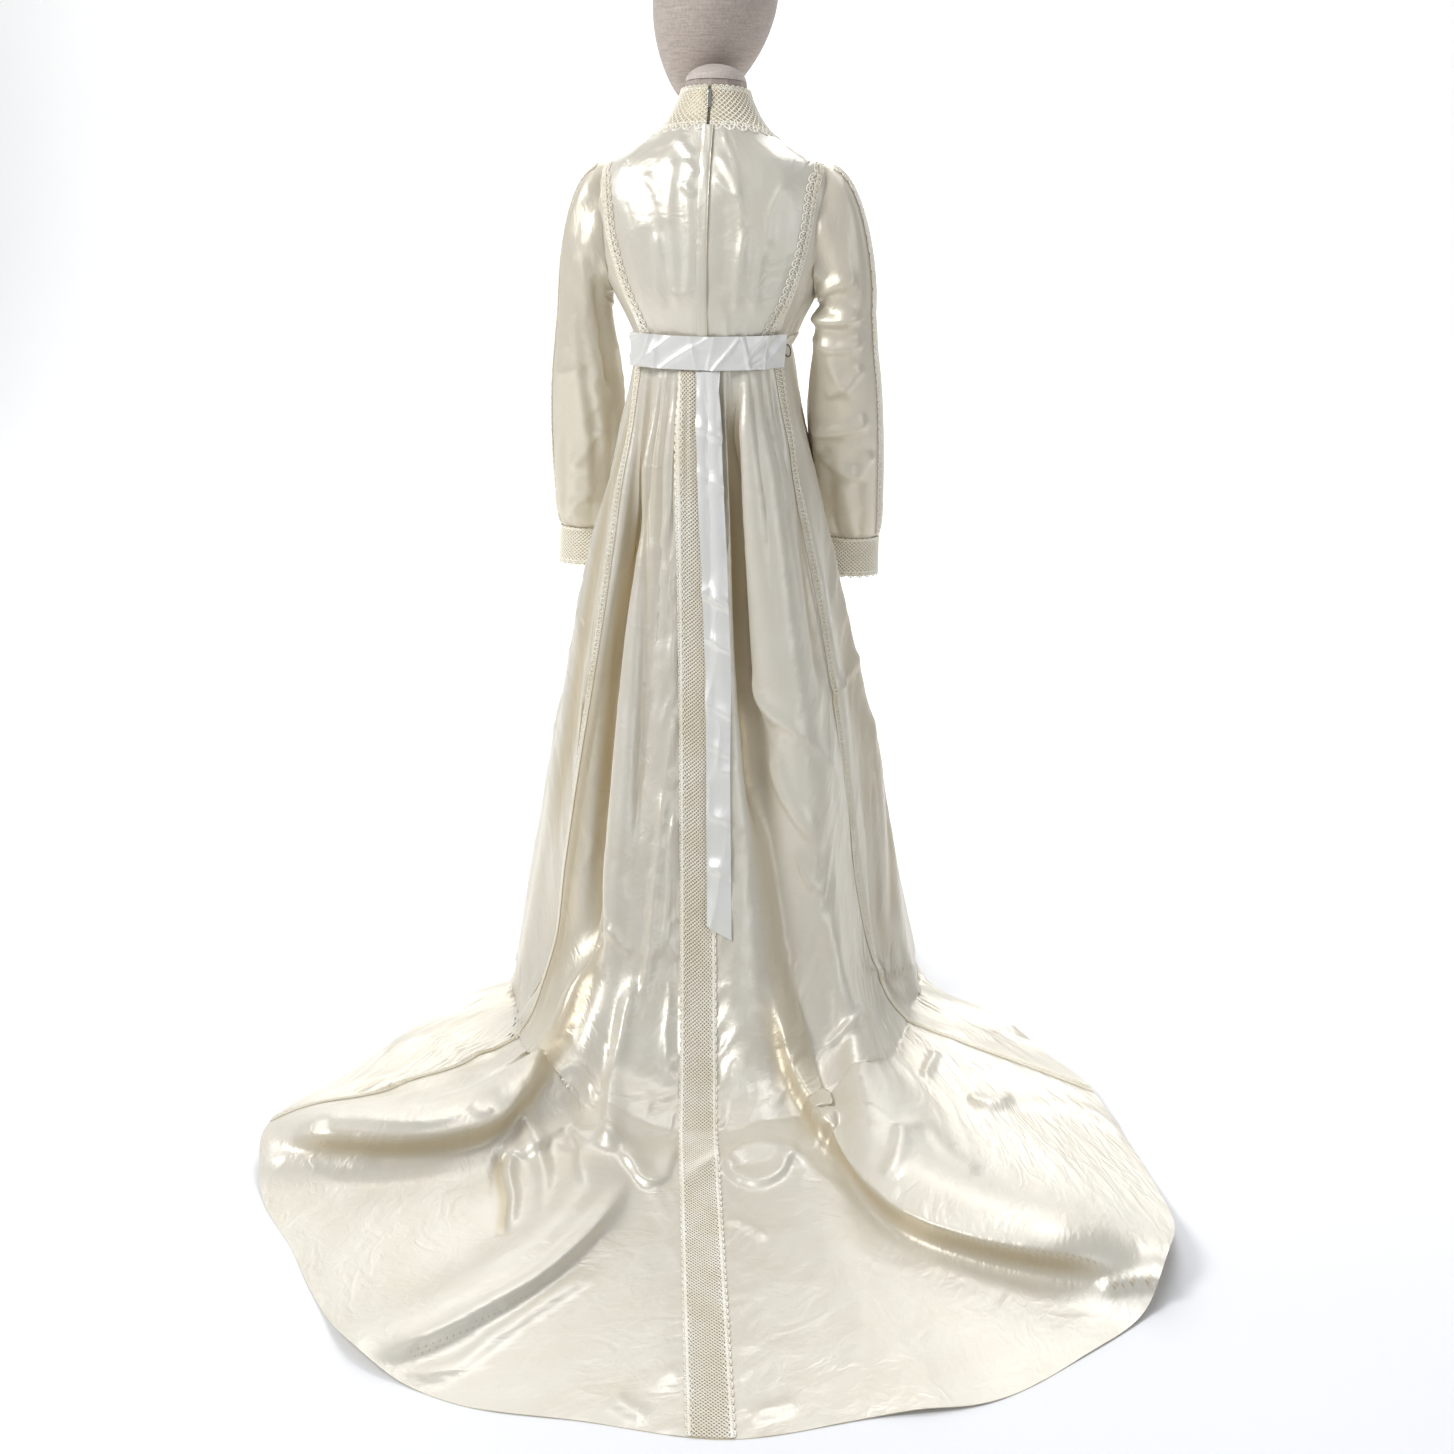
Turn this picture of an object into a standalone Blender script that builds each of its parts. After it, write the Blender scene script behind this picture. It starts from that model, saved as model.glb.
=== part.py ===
"""Wedding gown with a long train, worn by a limbless dress form on a round base.

Metres, +Z up. The form's chest looks along +Y and the train runs out towards -Y. The origin is the
centre of the base's underside. Angles run round the form from the centre back (-Y) towards +X.
"""

import math

import bmesh
import bpy
import numpy as np
from mathutils import Vector

# Thicknesses and gaps
WALL = 0.0012  # satin
LACE = 0.0012
PLACKET = 0.0014
RIBBON = 0.0014
BAND = 0.0026  # the bow's ribbon is double
GAP = 0.0003
EASE = 0.0019  # how far the form stays inside the bodice
PLATE_HALF_DEG = 3.0

# Heights
WAIST = 1.071  # the empire seam
WAIST_LACE_TOP = 1.089
ARMPIT = 1.150
SHOULDER = 1.335
NECKLINE = 1.371
COLLAR_TOP = 1.440
BODICE_LOW_ROW = 1.118
SHOULDER_ROWS = (1.350, 1.361)
COLLAR_ROWS = (1.386, 1.405)
FORM_FOOT = 0.840
FORM_TOP = 1.452

# Widths
CENTRE_LACE_HALF = 0.029
CENTRE_LACE_QUARTER = 0.015
SEAM_LACE_HALF = 0.012
STREAMER_WIDTH = 0.038
PLACKET_HALF = 0.008
ZIP_SLIT_HALF = 0.0022

# The gown's inner face above the seam, and the form under the skirt. Tilt is a ring's rise towards the back.
# height, half_width, back_depth, front_depth, centre_y, tilt
FIGURE = [
    (0.840, 0.141, 0.100, 0.102, 0.000, 0.00),
    (0.900, 0.132, 0.095, 0.099, 0.000, 0.00),
    (0.960, 0.118, 0.091, 0.095, 0.000, 0.00),
    (1.010, 0.112, 0.094, 0.099, 0.000, 0.00),
    (1.071, 0.1185, 0.1045, 0.112, 0.000, 0.00),
    (1.110, 0.136, 0.110, 0.129, 0.000, 0.00),
    (1.150, 0.1570, 0.113, 0.139, 0.000, 0.00),
    (1.200, 0.1735, 0.110, 0.129, 0.000, 0.00),
    (1.250, 0.182, 0.103, 0.109, 0.000, 0.00),
    (1.290, 0.184, 0.094, 0.093, 0.000, 0.03),
    (1.315, 0.179, 0.087, 0.084, 0.002, 0.08),
    (1.335, 0.162, 0.079, 0.078, 0.004, 0.15),
    (1.350, 0.134, 0.071, 0.072, 0.005, 0.22),
    (1.362, 0.110, 0.065, 0.067, 0.006, 0.30),
    (1.371, 0.0955, 0.061, 0.062, 0.007, 0.36),
    (1.385, 0.080, 0.056, 0.057, 0.008, 0.36),
    (1.400, 0.069, 0.053, 0.054, 0.009, 0.33),
    (1.420, 0.058, 0.050, 0.051, 0.010, 0.28),
    (1.440, 0.0505, 0.048, 0.049, 0.011, 0.20),
    (1.452, 0.048, 0.047, 0.048, 0.012, 0.15),
]

# Armhole: half its opening as an angle round the figure
ARMHOLE_DEG = 28.0
ARMHOLE_ROUND = 0.45
SLEEVE_COLUMNS = 16

# Columns of one half of the bodice that its placket and its lace lie on
PLACKET_COLUMNS = slice(0, 2)
STRIP_COLUMNS = slice(4, 7)

# Where the bodice lace runs.
# height, outer_deg, inner_deg
BODICE_LACE = [
    (1.071, 52.0, 40.0),
    (1.150, 55.0, 45.0),
    (1.200, 57.0, 47.5),
    (1.250, 59.5, 50.0),
    (1.290, 62.0, 51.5),
    (1.315, 68.0, 56.0),
    (1.335, 86.0, 68.0),
    (1.350, 82.0, 66.0),
    (1.371, 78.0, 62.0),
]

# Sleeve below the armhole.
# height, centre_x, centre_y, half_width, half_depth
SLEEVE = [
    (1.120, 0.207, 0.004, 0.042, 0.054),
    (1.060, 0.207, 0.012, 0.049, 0.059),
    (1.000, 0.208, 0.026, 0.056, 0.061),
    (0.940, 0.211, 0.042, 0.058, 0.060),
    (0.880, 0.215, 0.060, 0.057, 0.058),
    (0.820, 0.219, 0.080, 0.054, 0.055),
    (0.780, 0.223, 0.094, 0.050, 0.049),
    (0.760, 0.226, 0.100, 0.045, 0.040),
    (0.749, 0.228, 0.103, 0.0405, 0.030),
]
SLEEVE_SWAY = 0.018  # both sleeves hang this much to the left at the cuff
HEAD_SHARE = 0.26
SLEEVE_ROWS = (0.0, 0.05, 0.11, 0.18, 0.26, 0.36, 0.48, 0.60, 0.72, 0.83, 0.91, 0.96, 1.0)
SLEEVE_GATHER = 0.0035
CUFF_FOOT = 0.686
CUFF_FLARE = 1.06

# Skirt seams, with their angle at the waist, where the cloth meets the floor and at the hem.
# name, waist_deg, land_deg, hem_deg
SEAMS = [
    ("centre_back", -5.0, 7.5, 10.0),
    ("side_back_right", 58.0, 62.0, 61.0),
    ("side_front_right", 130.0, 136.0, 140.0),
    ("side_front_left", 230.0, 224.0, 220.0),
    ("side_back_left", 302.0, 324.0, 322.0),
    ("centre_back", 355.0, 367.5, 370.0),
]

# Plan of the skirt on the floor.
# angle_deg, landing_radius, hem_radius
FLOOR = [
    (-180, 0.335, 0.336),
    (-140, 0.335, 0.336),
    (-110, 0.338, 0.340),
    (-90, 0.338, 0.342),
    (-72, 0.342, 0.352),
    (-62, 0.350, 0.390),
    (-56, 0.362, 0.470),
    (-50, 0.378, 0.570),
    (-45, 0.395, 0.670),
    (-41, 0.412, 0.760),
    (-38, 0.425, 0.868),
    (-34, 0.445, 0.925),
    (-30, 0.465, 0.962),
    (-23, 0.495, 1.014),
    (-18, 0.515, 1.072),
    (-12, 0.535, 1.142),
    (-5, 0.550, 1.180),
    (3, 0.560, 1.182),
    (11, 0.560, 1.202),
    (19, 0.548, 1.182),
    (26, 0.530, 1.186),
    (33, 0.508, 1.150),
    (40, 0.480, 1.112),
    (45, 0.460, 1.062),
    (53, 0.425, 0.893),
    (61, 0.398, 0.736),
    (68, 0.380, 0.610),
    (76, 0.365, 0.468),
    (84, 0.356, 0.388),
    (95, 0.350, 0.354),
    (115, 0.343, 0.345),
    (140, 0.337, 0.338),
    (180, 0.335, 0.336),
]
SIDE_LANDING = 0.350
BACK_LANDING = 0.560
LAID_FULL = 0.22  # with this much cloth on the floor, it comes down along the floor
SLACK = 1.03  # length of the hanging cloth over the straight line from seam to floor

# How the cloth falls from the waist to the floor, as shares of the height and of the distance out.
# along, back_drop, back_spread, side_spread, front_spread
FALL = [
    (0.000, 0.000, 0.000, 0.000, 0.000),
    (0.085, 0.095, 0.036, 0.060, 0.055),
    (0.170, 0.190, 0.079, 0.150, 0.115),
    (0.385, 0.430, 0.191, 0.390, 0.300),
    (0.560, 0.620, 0.326, 0.575, 0.480),
    (0.704, 0.774, 0.460, 0.730, 0.650),
    (0.829, 0.898, 0.618, 0.860, 0.800),
    (0.921, 0.969, 0.798, 0.940, 0.905),
    (1.000, 1.000, 1.000, 1.000, 1.000),
]

# Rows of the skirt as shares of its length, closer where the cloth turns on to the floor
SKIRT_ROWS = (
    0.0, 0.016, 0.046, 0.09, 0.14, 0.20, 0.26, 0.32, 0.38, 0.43, 0.48,
    0.53, 0.575, 0.62, 0.665, 0.71, 0.76, 0.82, 0.88, 0.94, 1.0,
)
STREAMER_END_ROW = 10
LACE_START = SKIRT_ROWS[1] + 0.0004
SEAM_STEP = 0.006  # beside a seam, the panel's width is measured this share of a panel away from it

# Large folds: their angle and height at five stations down the cloth. A lean above 0 tips towards +angle.
FOLD_STATIONS = (0.0, 0.30, 0.55, 0.78, 1.0)
# angle_deg at the stations, width_waist, width_hem, height_mm at the stations, lean
FOLDS = [
    ((-33, -24, -17, -23, -38), 0.016, 0.078, (4, 20, 34, 44, 36), 0.25),
    ((-58, -46, -40, -42, -50), 0.018, 0.050, (3, 16, 20, 12, 10), 0.0),
    ((-12, -11, -7, -3, -12), 0.014, 0.060, (3, 8, 9, 24, 16), -0.2),
    ((17, 18, 17, 20, 22), 0.015, 0.055, (3, 9, 10, 8, 6), 0.0),
    ((35, 42, 44, 33, 44), 0.018, 0.074, (5, 24, 30, 44, 44), -0.45),
    ((60, 64, 68, 60, 62), 0.018, 0.045, (3, 12, 15, 10, 12), 0.0),
    ((84, 86, 86, 78, 74), 0.018, 0.040, (3, 12, 16, 18, 14), 0.0),
    ((104, 106, 108, 110, 110), 0.018, 0.040, (2, 7, 12, 14, 12), 0.0),
    ((126, 128, 130, 132, 132), 0.018, 0.044, (3, 12, 16, 18, 16), 0.0),
    ((152, 154, 156, 158, 158), 0.018, 0.044, (3, 11, 15, 17, 16), 0.0),
    ((180, 181, 182, 183, 183), 0.018, 0.044, (3, 10, 14, 16, 15), 0.0),
    ((207, 206, 207, 208, 208), 0.018, 0.044, (3, 11, 15, 17, 16), 0.0),
    ((233, 232, 230, 230, 230), 0.018, 0.044, (3, 12, 16, 18, 16), 0.0),
    ((256, 254, 252, 250, 250), 0.018, 0.040, (2, 7, 12, 14, 12), 0.0),
    ((276, 275, 274, 276, 278), 0.018, 0.040, (3, 12, 16, 18, 14), 0.0),
    ((295, 292, 293, 298, 302), 0.018, 0.040, (3, 10, 12, 12, 16), 0.0),
]
# Channels between the back folds, which hang deep and fade out above the floor.
# angle_deg at the stations, width_waist, width_hem, depth_mm at the stations
CHANNELS = [
    ((-44, -34, -27, -30, -44), 0.012, 0.040, (3, 16, 12, 0, 0)),
    ((24, 28, 32, 27, 33), 0.012, 0.045, (4, 18, 13, 0, 0)),
    ((-22, -17, -12, -12, -20), 0.010, 0.030, (2, 6, 4, 0, 0)),
]
# Arcs of slack where the back meets the floor.
# angle_deg, along, half_length, half_breadth, height_mm
POOLS = [
    (-5.0, 0.700, 0.085, 0.022, 15),
    (14.0, 0.690, 0.080, 0.022, 13),
    (-14.0, 0.735, 0.070, 0.020, 13),
    (27.0, 0.680, 0.060, 0.020, 12),
]
BACK_LENGTH = 1.8  # of cloth from waist to hem, which turns shares into metres on the pools
WAIST_GATHER = 0.0030

# Columns of a panel beside a seam with the centre lace and the streamer, or with a side lace
TO_STREAMER = (0.0, CENTRE_LACE_QUARTER, CENTRE_LACE_HALF, STREAMER_WIDTH)
TO_SIDE_LACE = (0.0, SEAM_LACE_HALF)

# Skirt panels: columns at fixed distances from each seam, and the number of even ones between.
# name, first_seam, distances from it, distances to the next seam, inner, gathers
PANELS = [
    ("skirt_back_right", 0, TO_STREAMER, TO_SIDE_LACE[::-1], 16, 8),
    ("skirt_side_right", 1, TO_SIDE_LACE, (0.0,), 11, 0),
    ("skirt_front", 2, (0.0,), (0.0,), 10, 0),
    ("skirt_side_left", 3, (0.0,), TO_SIDE_LACE[::-1], 14, 0),
    ("skirt_back_left", 4, TO_SIDE_LACE, TO_STREAMER[::-1], 16, 8),
]

# Bow across the back of the waist
BOW_LEFT_DEG = -54.0
BOW_RIGHT_DEG = 60.0
BOW_TOP = 1.0935
BOW_FOOT = 1.0435
BOW_ROW = 0.0185  # where the skirt is as low as the bow's lower edge
BOW_FOOT_CLEAR = 0.0065  # over the waist gathers
BOW_PROUD_LEFT = 0.012
BOW_PROUD_RIGHT = 0.004

# Zip
SLIDER_HEIGHT = 1.4255
SLIDER_SIZE = (0.0054, 0.0024, 0.0095)
PIN_RADIUS = 0.0008
PIN_OUT = 0.0038
LUG_WIDTH = 0.0026
LUG_SUNK = 0.0002
PULL_CLEAR = 0.0006
PULL_WIDTH = 0.0050
PULL_LENGTH = 0.0200
PULL_THICK = 0.0010

# Form and stand
BASE_RADIUS = 0.160
BASE_HEIGHT = 0.012
POLE_RADIUS = 0.0125
SOCKET_RADIUS = 0.024
SOCKET_HEIGHT = 0.030
NECK_CAP_HEIGHT = 0.026
CAP_STEP_DEG = 15.0
CAP_LEVELS_DEG = (0.0, 18.0, 36.0, 54.0, 70.0, 82.0)
HEAD_SIZE = (0.093, 0.100, 0.150)
HEAD_CENTRE = (-0.017, 0.085, 1.560)
HEAD_TILT_DEG = (12.0, 14.0)  # about X, chin forwards, and about Y, crown to the right
HEAD_CLEAR = 0.0020  # the hollow under the head to the collar

# name: (linear colour, roughness, metallic)
FINISHES = {
    "satin": ((0.72, 0.67, 0.55), 0.30, 0.0),
    "ribbon": ((0.78, 0.80, 0.80), 0.25, 0.0),
    "lace": ((0.74, 0.68, 0.52), 0.75, 0.0),
    "nickel": ((0.55, 0.55, 0.55), 0.30, 1.0),
    "linen": ((0.47, 0.42, 0.38), 0.90, 0.0),
    "cap linen": ((0.60, 0.55, 0.51), 0.90, 0.0),
    "steel": ((0.40, 0.40, 0.41), 0.35, 1.0),
}


def clear_scene():
    for old in list(bpy.data.objects):
        bpy.data.objects.remove(old, do_unlink=True)


def make_finishes():
    made = {}
    for name, (colour, roughness, metallic) in FINISHES.items():
        material = bpy.data.materials.new(name)
        material.use_nodes = True
        shader = material.node_tree.nodes["Principled BSDF"]
        shader.inputs["Base Color"].default_value = (*colour, 1.0)
        shader.inputs["Roughness"].default_value = roughness
        shader.inputs["Metallic"].default_value = metallic
        made[name] = material
    return made


def new_collection(name):
    collection = bpy.data.collections.new(name)
    bpy.context.scene.collection.children.link(collection)
    return collection


def add_object(name, mesh, finish):
    obj = bpy.data.objects.new(name, mesh)
    PARTS.objects.link(obj)
    mesh.materials.append(MATERIALS[finish])
    return obj


def smooth(x, knots, values):
    """Reads a table at x on a smooth curve through its rows."""
    knots = np.asarray(knots, float)
    values = np.asarray(values, float)
    slopes = np.gradient(values, knots)
    x = np.clip(x, knots[0], knots[-1])
    i = np.clip(np.searchsorted(knots, x) - 1, 0, len(knots) - 2)
    step = knots[i + 1] - knots[i]
    t = (x - knots[i]) / step
    near = (1 + 2 * t) * (1 - t) ** 2 * values[i] + t * (1 - t) ** 2 * step * slopes[i]
    far = t * t * (3 - 2 * t) * values[i + 1] - t * t * (1 - t) * step * slopes[i + 1]
    return near + far


def column(table, index):
    return [row[index] for row in table]


def wrapped(degrees):
    return (degrees + 180.0) % 360.0 - 180.0


def unit(vectors):
    return vectors / np.maximum(np.linalg.norm(vectors, axis=-1, keepdims=True), 1e-12)


def normals(surface, a, b, step_a, step_b, limits):
    """Unit normals of surface(a, b), along a crossed with along b; b stays within limits."""
    across = surface(a + step_a, b) - surface(a - step_a, b)
    low = np.maximum(b - step_b, limits[0])
    high = np.minimum(b + step_b, limits[1])
    along = surface(a, high) - surface(a, low)
    return unit(np.cross(across, along))


def figure(angle_deg, height):
    """The inner face of the bodice and collar."""
    angle_deg, height = np.broadcast_arrays(angle_deg, height)
    angle = np.radians(angle_deg)
    heights = column(FIGURE, 0)
    half_width, back, front, centre_y, tilt = (
        smooth(height, heights, column(FIGURE, k)) for k in range(1, 6)
    )
    depth = np.where(np.cos(angle) > 0, back, front)
    out_y = -depth * np.cos(angle)
    return np.stack([half_width * np.sin(angle), centre_y + out_y, height - tilt * out_y], axis=-1)


def off_figure(angle_deg, height, distance):
    """A point at this distance outside the bodice's inner face."""
    angle_deg, height = np.broadcast_arrays(np.asarray(angle_deg, float), height)
    limits = (FIGURE[0][0], FIGURE[-1][0])
    out = normals(figure, angle_deg, height, 0.5, 0.002, limits)
    return figure(angle_deg, height) + distance * out


def degrees_for(length, angle_deg, height):
    """The angle that this length takes up round the figure."""
    step = figure(angle_deg + 0.5, height) - figure(angle_deg - 0.5, height)
    return length / np.linalg.norm(step, axis=-1)


def armhole_edge(height):
    """Half the armhole's opening, in degrees, at a height."""
    middle = (SHOULDER + ARMPIT) / 2
    half = (SHOULDER - ARMPIT) / 2
    inside = np.clip(1 - ((height - middle) / half) ** 2, 0, 1)
    return ARMHOLE_DEG * inside**ARMHOLE_ROUND


def at_seam(u, index):
    """A column of SEAMS at u, which counts panels round from the centre back."""
    count = len(SEAMS) - 1
    turns = np.floor(u / count)
    return np.interp(u - turns * count, range(count + 1), column(SEAMS, index)) + 360.0 * turns


def plan_point(angle_deg, index):
    radius = smooth(wrapped(angle_deg), column(FLOOR, 0), column(FLOOR, index))
    angle = np.radians(angle_deg)
    return np.stack([radius * np.sin(angle), -radius * np.cos(angle)], axis=-1)


def skirt_base(u, s):
    """The skirt's outer face without folds. s runs from the waist, 0, to the hem, 1."""
    u, s = np.broadcast_arrays(np.asarray(u, float), np.asarray(s, float))
    waist = off_figure(at_seam(u, 1), WAIST, WALL)[..., :2]
    land_deg = at_seam(u, 2)
    land = plan_point(land_deg, 1)
    hem = plan_point(at_seam(u, 3), 2)
    hang = SLACK * np.hypot(WAIST, np.linalg.norm(land - waist, axis=-1))
    lying = np.linalg.norm(hem - land, axis=-1)
    turn = hang / (hang + lying)
    q = np.clip(s / turn, 0, 1)
    along_floor = np.clip((s - turn) / np.maximum(1 - turn, 1e-6), 0, 1)
    back = np.clip((np.linalg.norm(land, axis=-1) - SIDE_LANDING) / (BACK_LANDING - SIDE_LANDING), 0, 1)
    laid = np.clip(lying / LAID_FULL, 0, 1)
    back = back + (np.maximum(laid, back) - back) * q**2
    front = np.clip((np.abs(wrapped(land_deg)) - 80.0) / 50.0, 0, 1)
    stations = column(FALL, 0)
    drop = q + back * (smooth(q, stations, column(FALL, 1)) - q)
    side_spread = smooth(q, stations, column(FALL, 3))
    spread = side_spread + back * (smooth(q, stations, column(FALL, 2)) - side_spread)
    spread = spread + front * (smooth(q, stations, column(FALL, 4)) - side_spread)
    flat = waist + spread[..., None] * (land - waist) + along_floor[..., None] * (hem - land)
    z = WALL + (WAIST - 3 * GAP - WALL) * (1 - drop)
    return np.concatenate([flat, z[..., None]], axis=-1)


def fold_lift(angle_deg, radius, s):
    """How far the folds lift the cloth, and how far they tip it along the angle."""
    lift = np.zeros_like(s)
    tip = np.zeros_like(s)
    for angles, width_waist, width_hem, heights, lean in FOLDS:
        height = smooth(s, FOLD_STATIONS, heights) / 1000
        width = width_waist + (width_hem - width_waist) * s
        off = np.radians(wrapped(angle_deg - smooth(s, FOLD_STATIONS, angles))) * radius / width
        bump = height * np.exp(-(off**2))
        lift += bump
        tip += lean * bump
    for angles, width_waist, width_hem, depths in CHANNELS:
        depth = smooth(s, FOLD_STATIONS, depths) / 1000
        width = width_waist + (width_hem - width_waist) * s
        off = np.radians(wrapped(angle_deg - smooth(s, FOLD_STATIONS, angles))) * radius / width
        lift -= depth * np.exp(-(off**2))
    return lift, tip


def pool_lift(angle_deg, radius, s):
    lift = np.zeros_like(s)
    for centre, along, half_length, half_breadth, height in POOLS:
        side = np.radians(wrapped(angle_deg - centre)) * radius / half_length
        down = ((s - along) * BACK_LENGTH - 0.05 * side**2) / half_breadth
        lift += height / 1000 * np.exp(-(side**2) - down**2)
    return lift


def reach_per_panel(u, s):
    """Metres round the skirt for one step of u."""
    step = 0.01
    across = skirt_base(u + step / 2, s) - skirt_base(u - step / 2, s)
    return np.linalg.norm(across, axis=-1) / step


def inner_span(panel, s):
    """Where the even columns of a panel begin and end, as u."""
    _, first, starts, ends, _, _ = panel
    begin = first + starts[-1] / reach_per_panel(first + SEAM_STEP, s)
    end = first + 1 - ends[0] / reach_per_panel(first + 1 - SEAM_STEP, s)
    return begin, end


def gather_lift(u, s):
    """Small gathers under the back waist seam."""
    lift = np.zeros_like(s)
    fade = smooth(s, (0, 0.016, 0.05, 0.10, 0.2, 0.32, 1.0), (0, 0.2, 1, 0.9, 0.4, 0, 0))
    turned = u % (len(SEAMS) - 1)
    for panel in PANELS:
        first, gathers = panel[1], panel[5]
        if not gathers:
            continue
        begin, end = inner_span(panel, s)
        share = np.clip((turned - begin) / (end - begin), 0, 1)
        inside = (turned > first) & (turned < first + 1)
        swell = np.sqrt(np.clip(np.sin(np.pi * share), 0, 1))
        lift += inside * WAIST_GATHER * fade * swell * -np.cos(2 * np.pi * gathers * share)
    return lift


def skirt(u, s):
    """The skirt's outer face with its folds."""
    u, s = np.broadcast_arrays(np.asarray(u, float), np.asarray(s, float))
    base = skirt_base(u, s)
    out = -normals(skirt_base, u, s, 0.004, 0.006, (0.0, 1.0))
    angle_deg = np.degrees(np.arctan2(base[..., 0], -base[..., 1]))
    radius = np.hypot(base[..., 0], base[..., 1])
    lift, tip = fold_lift(angle_deg, radius, s)
    lift = lift * np.clip(s / 0.02, 0, 1) + pool_lift(angle_deg, radius, s) + gather_lift(u, s)
    around = unit(np.stack([-base[..., 1], base[..., 0], np.zeros_like(s)], axis=-1))
    point = base + lift[..., None] * out + tip[..., None] * around
    point[..., 2] = np.maximum(point[..., 2], WALL)
    return point


def off_skirt(u, s, distance):
    u, s = np.broadcast_arrays(np.asarray(u, float), np.asarray(s, float))
    out = -normals(skirt, u, s, 0.004, 0.004, (0.0, 1.0))
    point = skirt(u, s) + distance * out
    point[..., 2] = np.maximum(point[..., 2], 0.0)
    return point


def add_wall(name, outer, inner, finish, tube=False):
    """A closed wall between two grids of points, which share their rows, columns and diagonals."""
    rows, columns = outer.shape[:2]
    shell = bmesh.new()
    sides = []
    for grid in (outer, inner):
        sides.append([[shell.verts.new(Vector(point)) for point in row] for row in grid])
    last = columns if tube else columns - 1
    for side in sides:
        for r in range(rows - 1):
            for c in range(last):
                d = (c + 1) % columns
                shell.faces.new((side[r][c], side[r][d], side[r + 1][d]))
                shell.faces.new((side[r][c], side[r + 1][d], side[r + 1][c]))
    out, back = sides
    for r in (0, rows - 1):
        for c in range(last):
            d = (c + 1) % columns
            shell.faces.new((out[r][c], out[r][d], back[r][d], back[r][c]))
    if not tube:
        for c in (0, columns - 1):
            for r in range(rows - 1):
                shell.faces.new((out[r][c], out[r + 1][c], back[r + 1][c], back[r][c]))
    bmesh.ops.recalc_face_normals(shell, faces=shell.faces)
    mesh = bpy.data.meshes.new(name)
    shell.to_mesh(mesh)
    shell.free()
    mesh.shade_smooth()
    mesh.set_sharp_from_angle(angle=math.radians(60))
    return add_object(name, mesh, finish)


def add_loft(name, rings, finish):
    """A solid through closed rings, with a flat face at each end."""
    solid = bmesh.new()
    made = [[solid.verts.new(Vector(point)) for point in ring] for ring in rings]
    count = len(made[0])
    for low, high in zip(made, made[1:]):
        for c in range(count):
            d = (c + 1) % count
            solid.faces.new((low[c], low[d], high[d], high[c]))
    solid.faces.new(made[0])
    solid.faces.new(made[-1])
    bmesh.ops.recalc_face_normals(solid, faces=solid.faces)
    mesh = bpy.data.meshes.new(name)
    solid.to_mesh(mesh)
    solid.free()
    mesh.shade_smooth()
    mesh.set_sharp_from_angle(angle=math.radians(60))
    return add_object(name, mesh, finish)


def mirrored(points):
    return points * np.array([-1.0, 1.0, 1.0])


def armhole_heights():
    """The bodice's rows beside the armhole, one for each column of the sleeve."""
    turn = np.linspace(math.pi, 0, SLEEVE_COLUMNS // 2 + 1)
    return (SHOULDER + ARMPIT) / 2 + (SHOULDER - ARMPIT) / 2 * np.cos(turn)


def bodice_rows():
    low = [WAIST, WAIST_LACE_TOP, BODICE_LOW_ROW]
    return np.concatenate([low, armhole_heights(), [*SHOULDER_ROWS, NECKLINE]])


def bodice_columns(height):
    """Angles of the columns of one half back, from the centre to the side, armhole or shoulder."""
    placket = degrees_for(PLACKET_HALF, 0.0, height)
    outer = smooth(height, column(BODICE_LACE, 0), column(BODICE_LACE, 1))
    inner = smooth(height, column(BODICE_LACE, 0), column(BODICE_LACE, 2))
    edge = 90.0 - armhole_edge(height)
    outer = np.minimum(outer, edge - 0.8)
    start = np.zeros_like(height)
    back = [placket + (inner - placket) * share for share in (1 / 3, 2 / 3)]
    side = [outer + (edge - outer) * share for share in (1 / 3, 2 / 3)]
    return np.stack([start, placket, *back, inner, (inner + outer) / 2, outer, *side, edge], axis=1)


def ring_columns(height):
    """The columns all the way round, from the centre back."""
    half = bodice_columns(height)
    around = np.concatenate([half, 180.0 - half[:, -2::-1]], axis=1)
    return np.concatenate([around, 360.0 - around[:, -2:0:-1]], axis=1)


def seam_shift(angles, height, first, last):
    """The same columns with the first and last drawn in by half a seam's gap."""
    half_gap = degrees_for(GAP / 2, angles[:, 0], height)
    moved = angles.copy()
    moved[:, 0] += first * half_gap
    moved[:, -1] -= last * half_gap
    return moved


def make_bodice():
    rows = bodice_rows()
    heights = rows[:, None]
    half = bodice_columns(rows)
    right = seam_shift(half, rows, 1, 1)
    for side, angles in (("right", right), ("left", 360.0 - right[:, ::-1])):
        outer = off_figure(angles, heights, WALL)
        add_wall(f"bodice_back_{side}", outer, off_figure(angles, heights, 0.0), "satin")
    front_half = 180.0 - half[:, ::-1]
    front = np.concatenate([front_half, 360.0 - front_half[:, -2::-1]], axis=1)
    front = seam_shift(front, rows, 1, 1)
    add_wall("bodice_front", off_figure(front, heights, WALL), off_figure(front, heights, 0.0), "satin")


def make_bodice_lace():
    rows = bodice_rows()
    keep = (rows > WAIST_LACE_TOP - 1e-6) & (rows < SHOULDER + 1e-6)
    rows = rows[keep].copy()
    strip = bodice_columns(rows)[:, STRIP_COLUMNS]
    rows[0] += GAP
    heights = rows[:, None]
    strips = {
        "back_right": strip,
        "back_left": 360.0 - strip[:, ::-1],
        "front_right": 180.0 - strip[:, ::-1],
        "front_left": 180.0 + strip,
    }
    for place, angles in strips.items():
        outer = off_figure(angles, heights, WALL + GAP + LACE)
        inner = off_figure(angles, heights, WALL + GAP)
        add_wall(f"lace_bodice_{place}", outer, inner, "lace")


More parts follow.
